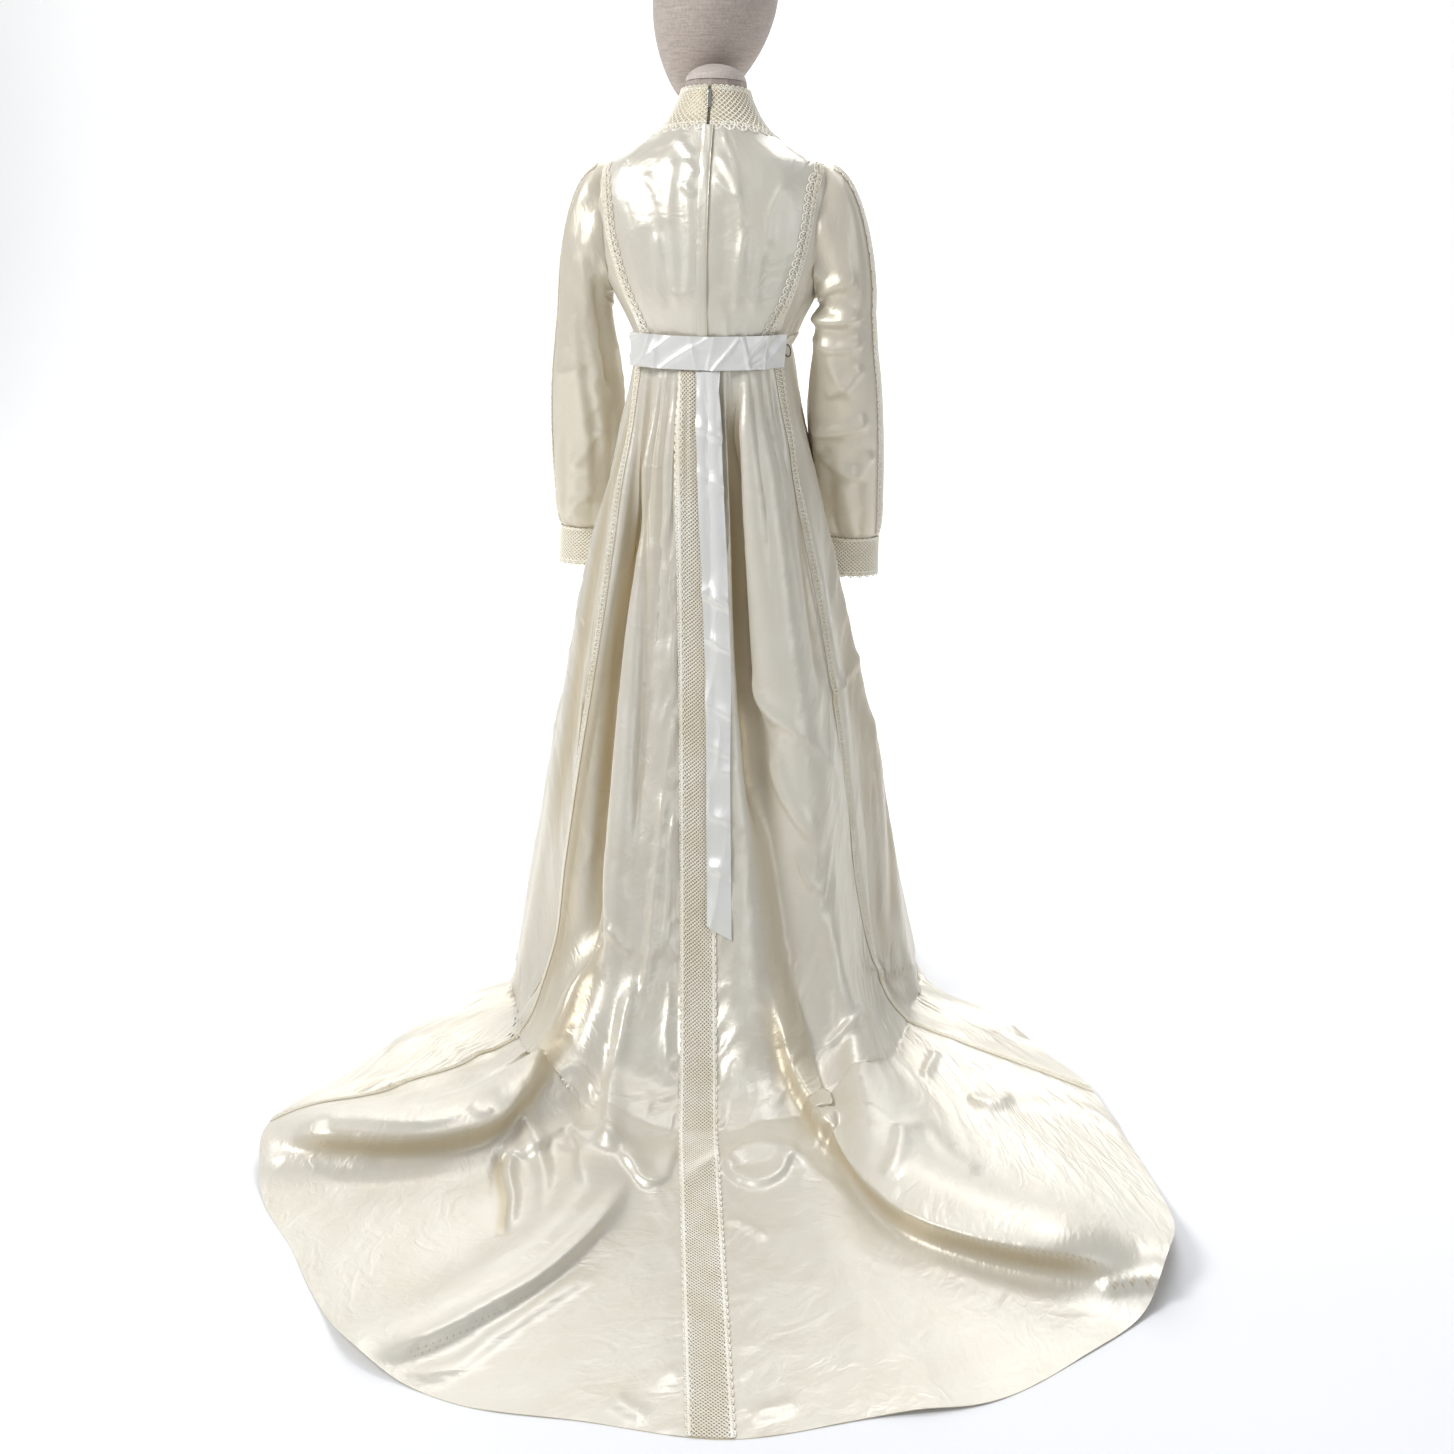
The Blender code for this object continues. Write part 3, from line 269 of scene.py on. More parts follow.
# name, first seam, gathers, columns, rows
PANELS = [
    ("skirt_back_right", 0, 8, 176, 240),
    ("skirt_side_right", 1, 0, 84, 150),
    ("skirt_front", 2, 0, 72, 90),
    ("skirt_side_left", 3, 0, 108, 150),
    ("skirt_back_left", 4, 8, 160, 240),
]
# Cut of each skirt panel: width at the hem, length, and area in square metres
PANEL_CUTS = {
    "skirt_back_right": (1.10, 1.92, 0.80),
    "skirt_side_right": (0.62, 1.20, 0.36),
    "skirt_front": (0.62, 1.16, 0.39),
    "skirt_side_left": (0.90, 1.50, 0.47),
    "skirt_back_left": (0.90, 1.92, 0.655),
}

# Creases of the satin, drawn where the photograph shows them, as pixels of its square frame. The plus
# side is left of a crease drawn downwards and below one drawn to the right; tip leans it that way.
# height_mm, tip_mm, plus_px, minus_px, points
SKIRT_CREASES = [
    (-24, 0, 9, 9, ((646, 450), (634, 560), (617, 660), (611, 740), (606, 820), (600, 900), (588, 1000))),
    (10, 7, 4, 20, ((662, 384), (650, 470), (646, 520), (636, 640), (628, 720), (619, 810), (613, 900), (606, 980))),
    (8, 0, 10, 14, ((630, 420), (604, 540), (590, 640), (574, 760), (560, 860), (548, 940))),
    (5, 0, 6, 8, ((612, 410), (594, 540), (577, 660), (560, 770), (545, 870))),
    (-5, 0, 5, 7, ((664, 384), (656, 450), (652, 520), (648, 640), (642, 760), (636, 860))),
    (5, 0, 5, 7, ((677, 384), (670, 450), (664, 520), (660, 600), (655, 700))),
    (7, 2, 4, 6, ((664, 780), (661, 840), (655, 900), (650, 960), (640, 1010))),
    (6, 0, 4, 5, ((678, 800), (670, 850), (668, 905), (660, 960))),
    (5, 2, 4, 4, ((612, 925), (620, 942), (634, 953))),
    (-24, 0, 8, 8, ((734, 378), (739, 450), (742, 530), (744, 600), (748, 680), (755, 760), (764, 850))),
    (10, 7, 4, 18, ((744, 378), (748, 450), (751, 520), (755, 600), (762, 680), (770, 740))),
    (10, 0, 16, 18, ((765, 400), (775, 480), (782, 560), (795, 640), (812, 720), (830, 800), (850, 880))),
    (-7, 0, 4, 9, ((788, 430), (798, 500), (803, 560), (810, 640), (817, 700))),
    (5, 2, 4, 5, ((733, 664), (752, 673), (764, 697), (775, 716), (792, 728), (810, 745), (826, 772), (838, 802))),
    (5, 2, 4, 5, ((768, 752), (776, 782), (790, 808), (806, 831), (826, 850))),
    (4, 1, 4, 4, ((774, 748), (786, 784), (801, 811), (823, 838))),
    (4, 0, 4, 5, ((866, 647), (850, 671), (836, 688), (822, 699))),
    (8, 0, 8, 9, ((866, 690), (874, 760), (879, 830), (883, 900), (887, 950))),
    (-8, 0, 6, 7, ((889, 760), (893, 850), (892, 930))),
    (4, 1, 3, 4, ((796, 850), (811, 884), (827, 896))),
    (6, 3, 4, 6, ((856, 962), (880, 972), (906, 966), (930, 990))),
    (5, 0, 4, 6, ((862, 1006), (845, 1032), (829, 1052))),
    (9, 0, 9, 10, ((824, 900), (838, 970), (851, 1030), (860, 1085), (874, 1130), (892, 1180))),
    (34, 13, 11, 40, (
        (766, 960), (780, 1020), (800, 1084), (830, 1130), (860, 1164), (884, 1194), (904, 1213), (932, 1228),
        (972, 1240), (1030, 1252), (1090, 1260), (1140, 1270),
    )),
    (7, 0, 5, 6, ((899, 1124), (904, 1155), (903, 1188))),
    (6, 0, 5, 9, ((900, 1122), (922, 1128), (946, 1156), (982, 1178))),
    (8, 2, 5, 10, ((940, 1032), (985, 1036), (1020, 1032), (1060, 1050))),
    (7, 2, 5, 7, ((966, 1096), (990, 1106), (1014, 1098))),
    (6, 1, 5, 5, ((938, 1050), (930, 1066), (924, 1080))),
    (5, 0, 5, 8, ((960, 1112), (1040, 1106), (1096, 1116), (1130, 1140))),
    (9, 3, 4, 8, ((1098, 1290), (1130, 1283), (1172, 1281))),
    (4, 1, 4, 5, ((722, 1219), (744, 1225), (768, 1241))),
    (32, 13, 10, 32, (
        (264, 1139), (340, 1141), (400, 1142), (450, 1138), (488, 1125), (510, 1104), (535, 1070), (560, 1030),
        (583, 978), (598, 930),
    )),
    (7, 2, 5, 13, ((504, 1138), (520, 1152), (545, 1139), (570, 1128), (582, 1142), (582, 1166), (590, 1194))),
    (-12, 0, 5, 6, ((502, 1148), (498, 1175), (503, 1200), (499, 1238))),
    (7, 0, 5, 6, ((512, 1150), (508, 1175), (512, 1200), (506, 1232))),
    (14, 3, 8, 9, ((640, 975), (629, 1012), (622, 1052), (615, 1088), (611, 1130), (606, 1158))),
    (15, 5, 8, 9, ((372, 1357), (430, 1338), (480, 1312), (530, 1283), (575, 1245), (610, 1205), (630, 1172))),
    (6, 0, 6, 8, ((398, 1376), (450, 1371), (500, 1336), (555, 1298), (605, 1268))),
    (8, 3, 5, 9, ((622, 1146), (634, 1166), (646, 1181), (660, 1180), (669, 1160), (675, 1138))),
    (9, 3, 5, 10, ((724, 1150), (734, 1174), (755, 1183), (779, 1174), (790, 1158), (806, 1164))),
    (7, 2, 6, 8, ((386, 1048), (430, 1041), (470, 1056), (496, 1054))),
    (7, 2, 5, 9, ((345, 1083), (400, 1085), (450, 1082), (500, 1076))),
    (6, 2, 4, 7, ((298, 1132), (350, 1129), (410, 1130), (470, 1122))),
    (5, 1, 4, 4, ((468, 1112), (476, 1120), (486, 1117))),
    (5, 0, 4, 6, ((552, 1080), (575, 1068), (590, 1082), (600, 1104))),
    (5, 0, 6, 8, ((268, 1160), (330, 1158), (380, 1166))),
    (5, 0, 6, 9, ((610, 1398), (628, 1410), (646, 1420))),
    (4, 0, 4, 6, ((655, 1388), (668, 1376), (680, 1374))),
    (5, 0, 4, 6, ((752, 1418), (775, 1411), (800, 1404))),
]
# A crease that leans this far is a roll, and puts a painted shadow on the cloth this many plus widths beyond it, this
# strong
LEANING_MM = 9
ROLL_SHADE = 0.9
ROLL_SHADOW_PAINT = 0.65
BODICE_CREASES = [
    (3.6, 0, 4, 7, ((676, 150), (669, 200), (672, 260), (679, 318))),
    (3.0, 0, 4, 6, ((690, 150), (687, 190), (689, 250), (686, 310))),
    (3.2, 1, 3, 4, ((678, 138), (686, 150), (694, 158))),
    (3.2, 1, 3, 4, ((684, 160), (690, 166), (697, 176))),
    (2.8, 1, 3, 4, ((680, 182), (688, 190), (697, 196))),
    (3.0, 0, 3, 5, ((716, 150), (734, 186), (746, 232))),
    (2.8, 1, 3, 4, ((714, 176), (724, 188), (738, 200))),
    (3.2, 0, 4, 6, ((748, 222), (739, 262), (735, 318))),
    (3.0, 0, 4, 6, ((764, 240), (756, 280), (755, 322))),
    (3.5, 0, 5, 7, ((600, 190), (604, 240), (612, 290))),
    (3.0, 0, 4, 6, ((655, 230), (658, 280), (662, 322))),
    (-2.5, 0, 8, 10, ((722, 190), (724, 240), (720, 300))),
    (2.6, 0, 4, 6, ((640, 170), (655, 190), (664, 230))),
    (2.6, 0, 4, 6, ((786, 180), (770, 215), (768, 250))),
]
SLEEVE_CREASES = [
    (9, 2, 6, 9, ((812, 298), (830, 288), (858, 282))),
    (9, 2, 5, 8, ((815, 318), (836, 322), (862, 316))),
    (6, 0, 5, 7, ((818, 346), (840, 350), (864, 342))),
    (7, 0, 5, 8, ((818, 300), (826, 340), (838, 380), (856, 402))),
    (6, 0, 4, 7, ((824, 398), (846, 386), (864, 366))),
    (9, 2, 5, 8, ((812, 428), (838, 432), (870, 420))),
    (7, 2, 5, 8, ((822, 450), (842, 470), (868, 476))),
    (6, 0, 4, 6, ((846, 486), (860, 470), (874, 452))),
    (9, 0, 6, 9, ((583, 250), (588, 330), (598, 400), (606, 470))),
    (8, 0, 5, 7, ((575, 300), (578, 370), (586, 440), (588, 510))),
    (-9, 0, 4, 6, ((593, 270), (603, 350), (612, 400))),
    (6, 0, 4, 6, ((566, 520), (578, 505), (590, 496))),
    (6, 0, 4, 6, ((572, 470), (590, 440), (604, 424))),
]

# Bow and streamer
BOW_ENDS_DEG = (-54.0, 60.0)
BOW_TOP = 1.0935
BOW_FOOT = 1.0435
BOW_ROW = 0.0185
BOW_FOOT_CLEAR = 0.0065
BOW_PROUD = (0.012, 0.004)
# Pleat lines across the bow: angle_deg at the top, angle_deg at the foot, height_mm
BOW_PLEATS = [(-38, -44, 4.0), (-31, -34, 3.0), (26, 30, 3.6), (44, 40, 2.6), (-8, -4, 1.4), (8, 3, 1.2)]
# Bands where the streamer is creased across: along it in metres, height_mm
STREAMER_BANDS = [(0.09, 3.0), (0.16, 2.0), (0.335, 5.0), (0.40, 3.0), (0.50, 2.5), (0.56, 2.0), (0.66, 2.0), (0.74, 3.0)]
STREAMER_DRIFT = 0.014

# Head and neck of the form
HEAD_SIZE = (0.093, 0.100, 0.150)
HEAD_CENTRE = (-0.017, 0.085, 1.560)
HEAD_TILT_DEG = (12.0, 14.0)
HEAD_SEAM_DEG = -60.0
HEAD_CLEAR = 0.0020
NECK_CAP_HEIGHT = 0.026


def linear(hex_colour):
    """An sRGB hex colour as linear red, green and blue."""
    values = [int(hex_colour[k : k + 2], 16) / 255 for k in (1, 3, 5)]
    return tuple(v / 12.92 if v <= 0.04045 else ((v + 0.055) / 1.055) ** 2.4 for v in values)


def smooth(x, knots, values):
    """Reads a table at x on a smooth curve through its rows."""
    knots = np.asarray(knots, float)
    values = np.asarray(values, float)
    slopes = np.gradient(values, knots)
    x = np.clip(x, knots[0], knots[-1])
    i = np.clip(np.searchsorted(knots, x) - 1, 0, len(knots) - 2)
    step = knots[i + 1] - knots[i]
    t = (x - knots[i]) / step
    near = (1 + 2 * t) * (1 - t) ** 2 * values[i] + t * (1 - t) ** 2 * step * slopes[i]
    far = t * t * (3 - 2 * t) * values[i + 1] - t * t * (1 - t) * step * slopes[i + 1]
    return near + far


def column(table, index):
    return [row[index] for row in table]


def wrapped(degrees):
    return (degrees + 180.0) % 360.0 - 180.0


def unit(vectors):
    return vectors / np.maximum(np.linalg.norm(vectors, axis=-1, keepdims=True), 1e-12)


def normals(surface, a, b, step_a, step_b, limits):
    """Unit normals of surface(a, b), along a crossed with along b; b stays within limits."""
    across = surface(a + step_a, b) - surface(a - step_a, b)
    low = np.maximum(b - step_b, limits[0])
    high = np.minimum(b + step_b, limits[1])
    return unit(np.cross(across, surface(a, high) - surface(a, low)))


def ripple(x, y, seed):
    """Smooth random swells from -1 to 1, one unit of x and y apart."""
    side = 64
    grid = np.random.RandomState(seed).uniform(-1, 1, (side, side))
    i, j = np.floor(x).astype(int), np.floor(y).astype(int)
    fx, fy = x - i, y - j
    fx, fy = fx * fx * (3 - 2 * fx), fy * fy * (3 - 2 * fy)
    i, j = i % side, j % side
    k, m = (i + 1) % side, (j + 1) % side
    low = grid[i, j] * (1 - fx) + grid[k, j] * fx
    high = grid[i, m] * (1 - fx) + grid[k, m] * fx
    return low * (1 - fy) + high * fy


def pinched(x, y, seed):
    """Random narrow ridges from 0 to 1 between soft hollows, as crumpled satin has."""
    return (1 - np.abs(ripple(x, y, seed))) ** 3


# The camera's place and what it sees of a point


def camera_axes():
    turn, dip = math.radians(CAMERA_TURN_DEG), math.radians(CAMERA_DIP_DEG)
    right = np.array([math.cos(turn), math.sin(turn), 0.0])
    level = np.array([-math.sin(turn), math.cos(turn), 0.0])
    ahead = level * math.cos(dip) - np.array([0, 0, math.sin(dip)])
    up = level * math.sin(dip) + np.array([0, 0, math.cos(dip)])
    place = right * CAMERA_ASIDE - level * CAMERA_AWAY + np.array([0, 0, CAMERA_HEIGHT])
    return place, right, up, ahead, level


def photo_pixels(points):
    place, right, up, ahead, _ = camera_axes()
    away = points - place
    depth = away @ ahead
    focal = LENS_MM / SENSOR_MM * PHOTO_SIDE
    x = PHOTO_SIDE / 2 + focal * (away @ right) / depth
    y = PHOTO_SIDE / 2 - focal * (away @ up) / depth
    return np.stack([x, y], axis=-1)


def crease_path(points, count=56):
    points = np.array(points, float)
    along = np.concatenate([[0], np.cumsum(np.linalg.norm(np.diff(points, axis=0), axis=1))])
    t = np.linspace(0, along[-1], count)
    return np.stack([smooth(t, along, points[:, 0]), smooth(t, along, points[:, 1])], axis=1)


def nearest_on(path, spots):
    """From spots to a path: the gap, the path's direction there, and the share along it."""
    first = np.argmin(((spots[:, None, :] - path[None, :, :]) ** 2).sum(axis=2), axis=1)
    tangents = unit(np.gradient(path, axis=0))
    found = []
    for start in (np.clip(first - 1, 0, len(path) - 2), np.clip(first, 0, len(path) - 2)):
        step = path[start + 1] - path[start]
        t = np.clip(((spots - path[start]) * step).sum(axis=1) / (step**2).sum(axis=1), 0, 1)
        gap = spots - path[start] - t[:, None] * step
        tangent = unit(tangents[start] * (1 - t[:, None]) + tangents[start + 1] * t[:, None])
        found.append((gap, tangent, (start + t) / (len(path) - 1)))
    closer = (found[0][0] ** 2).sum(axis=1) < (found[1][0] ** 2).sum(axis=1)
    return [np.where(closer if one.ndim == 1 else closer[:, None], one, other) for one, other in zip(*found)]


def creased(points, out, rows):
    """Moves points by the creases: the move, and the painted shade of each point, in troughs and as a painted shadow
    beside rolls.
    """
    place, right, _, _, level = camera_axes()
    flat = points.reshape(-1, 3)
    normal = out.reshape(-1, 3)
    pixels = photo_pixels(flat)
    facing = np.clip((unit(place - flat) * normal).sum(axis=1) * 5, 0, 1)
    move = np.zeros_like(flat)
    painted_shade = np.zeros(len(flat))
    lying = np.clip(normal[:, 2:3], 0, 1)
    down = -level * lying - np.array([0, 0, 1.0]) * (1 - lying)
    for height, tip, plus, minus, drawn in rows:
        path = crease_path(drawn)
        reach = 3 * max(plus, minus)
        near = np.all((pixels > path.min(axis=0) - reach) & (pixels < path.max(axis=0) + reach), axis=1)
        near &= facing > 0
        if not near.any():
            continue
        gap, tangent, share = nearest_on(path, pixels[near])
        side = gap[:, 1] * tangent[:, 0] - gap[:, 0] * tangent[:, 1]
        past = (gap * tangent).sum(axis=1)
        ends = np.clip(np.minimum(share, 1 - share) * 6, 0, 1)
        ends = ends * ends * (3 - 2 * ends) * np.exp(-((past / 8) ** 2))
        width = np.where(side > 0, plus, minus)
        bump = facing[near] * ends * np.exp(-((side / width) ** 2))
        lean = -tangent[:, 1:2] * right + tangent[:, 0:1] * down[near]
        move[near] += bump[:, None] * (height / 1000 * normal[near] + tip / 1000 * lean)
        # Troughs take painted shade by their depth; rolls put a painted shadow on the cloth beyond their plus side
        if height < 0:
            painted_shade[near] += bump * min(0.8, -height / 18)
        if tip >= LEANING_MM:
            under = (side - ROLL_SHADE * plus) / plus
            painted_shade[near] += ROLL_SHADOW_PAINT * facing[near] * ends * np.exp(-(under**2))
    return move.reshape(points.shape), painted_shade.reshape(points.shape[:-1])


# Surfaces shared with the solids


def figure(angle_deg, height):
    angle_deg, height = np.broadcast_arrays(angle_deg, height)
    angle = np.radians(angle_deg)
    heights = column(FIGURE, 0)
    half_width, back, front, centre_y, tilt = (
        smooth(height, heights, column(FIGURE, k)) for k in range(1, 6)
    )
    depth = np.where(np.cos(angle) > 0, back, front)
    out_y = -depth * np.cos(angle)
    return np.stack([half_width * np.sin(angle), centre_y + out_y, height - tilt * out_y], axis=-1)


def figure_out(angle_deg, height):
    return normals(figure, angle_deg, height, 0.5, 0.002, (FIGURE[0][0], FIGURE[-1][0]))


def off_figure(angle_deg, height, distance):
    angle_deg, height = np.broadcast_arrays(np.asarray(angle_deg, float), height)
    return figure(angle_deg, height) + np.asarray(distance)[..., None] * figure_out(angle_deg, height)


def degrees_for(length, angle_deg, height):
    step = figure(angle_deg + 0.5, height) - figure(angle_deg - 0.5, height)
    return length / np.linalg.norm(step, axis=-1)


def armhole_edge(height):
    middle = (SHOULDER + ARMPIT) / 2
    half = (SHOULDER - ARMPIT) / 2
    inside = np.clip(1 - ((height - middle) / half) ** 2, 0, 1)
    return ARMHOLE_DEG * inside**ARMHOLE_ROUND


def at_seam(u, index):
    count = len(SEAMS) - 1
    turns = np.floor(u / count)
    return np.interp(u - turns * count, range(count + 1), column(SEAMS, index)) + 360.0 * turns


def plan_point(angle_deg, index):
    radius = smooth(wrapped(angle_deg), column(FLOOR, 0), column(FLOOR, index))
    angle = np.radians(angle_deg)
    return np.stack([radius * np.sin(angle), -radius * np.cos(angle)], axis=-1)


def skirt_base(u, s):
    u, s = np.broadcast_arrays(np.asarray(u, float), np.asarray(s, float))
    waist = off_figure(at_seam(u, 1), WAIST, WALL)[..., :2]
    land_deg = at_seam(u, 2)
    land = plan_point(land_deg, 1)
    hem = plan_point(at_seam(u, 3), 2)
    hang = SLACK * np.hypot(WAIST, np.linalg.norm(land - waist, axis=-1))
    lying = np.linalg.norm(hem - land, axis=-1)
    turn = hang / (hang + lying)
    q = np.clip(s / turn, 0, 1)
    along_floor = np.clip((s - turn) / np.maximum(1 - turn, 1e-6), 0, 1)
    back = np.clip((np.linalg.norm(land, axis=-1) - SIDE_LANDING) / (BACK_LANDING - SIDE_LANDING), 0, 1)
    laid = np.clip(lying / LAID_FULL, 0, 1)
    back = back + (np.maximum(laid, back) - back) * q**2
    front = np.clip((np.abs(wrapped(land_deg)) - 80.0) / 50.0, 0, 1)
    stations = column(FALL, 0)
    drop = q + back * (smooth(q, stations, column(FALL, 1)) - q)
    side_spread = smooth(q, stations, column(FALL, 3))
    spread = side_spread + back * (smooth(q, stations, column(FALL, 2)) - side_spread)
    spread = spread + front * (smooth(q, stations, column(FALL, 4)) - side_spread)
    flat = waist + spread[..., None] * (land - waist) + along_floor[..., None] * (hem - land)
    z = WALL + (WAIST - 3 * GAP - WALL) * (1 - drop)
    return np.concatenate([flat, z[..., None]], axis=-1)


def fold_lift(angle_deg, radius, s):
    lift = np.zeros_like(s)
    tip = np.zeros_like(s)
    for row in [*FOLDS, *CHANNELS]:
        angles, width_waist, width_hem, heights = row[:4]
        height = smooth(s, FOLD_STATIONS, heights) / 1000
        width = width_waist + (width_hem - width_waist) * s
        off = np.radians(wrapped(angle_deg - smooth(s, FOLD_STATIONS, angles))) * radius / width
        bump = height * np.exp(-(off**2))
        lift += bump if len(row) == 5 else -bump
        tip += row[4] * bump if len(row) == 5 else 0
    return lift, tip


def pool_lift(angle_deg, radius, s):
    lift = np.zeros_like(s)
    for centre, along, half_length, half_breadth, height in POOLS:
        side = np.radians(wrapped(angle_deg - centre)) * radius / half_length
        down = ((s - along) * BACK_LENGTH - 0.05 * side**2) / half_breadth
        lift += height / 1000 * np.exp(-(side**2) - down**2)
    return lift


def reach_per_panel(u, s):
    step = 0.01
    across = skirt_base(u + step / 2, s) - skirt_base(u - step / 2, s)
    return np.linalg.norm(across, axis=-1) / step


def gather_lift(u, s):
    """Gathers under the back waist seam, large ones as in the solids with small uneven ones on them."""
    lift = np.zeros_like(s)
    fade = smooth(s, (0, 0.016, 0.05, 0.10, 0.2, 0.32, 1.0), (0, 0.2, 1, 0.9, 0.4, 0, 0))
    turned = u % (len(SEAMS) - 1)
    for _, first, gathers, _, _ in PANELS:
        share = np.clip(turned - first, 0, 1)
        inside = (turned > first) & (turned < first + 1)
        swell = np.sqrt(np.clip(np.sin(np.pi * share), 0, 1))
        if gathers:
            lift += inside * WAIST_GATHER * fade * swell * -np.cos(2 * np.pi * gathers * share)
        lift += inside * 0.0010 * fade * swell * ripple(share * 26, s * 9, 11 + first)
    return lift


def skirt(u, s):
    u, s = np.broadcast_arrays(np.asarray(u, float), np.asarray(s, float))
    base = skirt_base(u, s)
    out = -normals(skirt_base, u, s, 0.004, 0.006, (0.0, 1.0))
    angle_deg = np.degrees(np.arctan2(base[..., 0], -base[..., 1]))
    radius = np.hypot(base[..., 0], base[..., 1])
    lift, tip = fold_lift(angle_deg, radius, s)
    lift = lift * np.clip(s / 0.02, 0, 1) + pool_lift(angle_deg, radius, s) + gather_lift(u, s)
    around = unit(np.stack([-base[..., 1], base[..., 0], np.zeros_like(s)], axis=-1))
    point = base + lift[..., None] * out + tip[..., None] * around
    point[..., 2] = np.maximum(point[..., 2], WALL)
    return point


def sleeve_ring(turn, height):
    heights = column(SLEEVE, 0)[::-1]
    centre_x, centre_y, half_width, half_depth = (
        smooth(height, heights, column(SLEEVE, k)[::-1]) for k in range(1, 5)
    )
    x = centre_x + half_width * np.cos(turn)
    y = centre_y - half_depth * np.sin(turn)
    return np.stack(np.broadcast_arrays(x, y, height), axis=-1)


def sleeve_top(turn):
    middle = (SHOULDER + ARMPIT) / 2
    height = middle + (SHOULDER - ARMPIT) / 2 * np.cos(turn)
    edge = armhole_edge(height)
    edge_point = off_figure(90.0 - np.sign(np.sin(turn)) * edge, height, WALL)
    centre = off_figure(90.0, middle, WALL)
    return edge_point + 2 * GAP * unit(centre - edge_point)


def sleeve(turn, t):
    """The right sleeve's outer face: turn is 0 on the outer side, and t runs from armhole to cuff."""
    turn, t = np.broadcast_arrays(turn, t)
    top = sleeve_top(turn)
    ring_top = sleeve_ring(turn, np.full_like(t, SLEEVE[0][0]))
    upper = 0.5 + 0.5 * np.cos(turn)
    out = np.stack([np.ones_like(t), -0.22 * np.sin(turn), 0.30 * upper], axis=-1)
    first = top + (0.010 + 0.045 * upper)[..., None] * unit(out)
    second = ring_top + (0.012 + 0.085 * upper)[..., None] * np.array([0.0, 0.0, 1.0])
    head = np.clip(t / HEAD_SHARE, 0, 1)[..., None]
    bend = (1 - head) ** 3 * top + 3 * (1 - head) ** 2 * head * first
    bend = bend + 3 * (1 - head) * head**2 * second + head**3 * ring_top
    down = np.clip((t - HEAD_SHARE) / (1 - HEAD_SHARE), 0, 1)
    hanging = sleeve_ring(turn, SLEEVE[0][0] + (SLEEVE[-1][0] - SLEEVE[0][0]) * down)
    point = np.where((t < HEAD_SHARE)[..., None], bend, hanging)
    gather = smooth(t, (0, 0.02, 0.1, 0.3, 0.62, 0.85, 0.97, 1.0), (0, 0.3, 0.35, 0.1, 0.35, 1, 0.7, 0.25))
    plain = 1 - np.exp(-((np.sin(turn / 2) / 0.16) ** 2))
    wave = SLEEVE_GATHER * gather * plain * np.cos(turn * SLEEVE_GATHERS)
    outwards = np.stack([np.cos(turn), -np.sin(turn), np.zeros_like(t)], axis=-1)
    return point + wave[..., None] * outwards


def swayed(points):
    below = np.clip((ARMPIT - points[..., 2]) / (ARMPIT - CUFF_FOOT), 0, 1)
    moved = points.copy()
    moved[..., 0] -= SLEEVE_SWAY * below
    return moved


def on_side(points, side):
    """Points or directions of the right sleeve, or mirrored to the left."""
    return points if side == "right" else points * np.array([-1.0, 1.0, 1.0])


# Finished cloth surfaces: each returns points, their outward directions, and the painted shade that darkens the satin's
# colour in folds and under lace


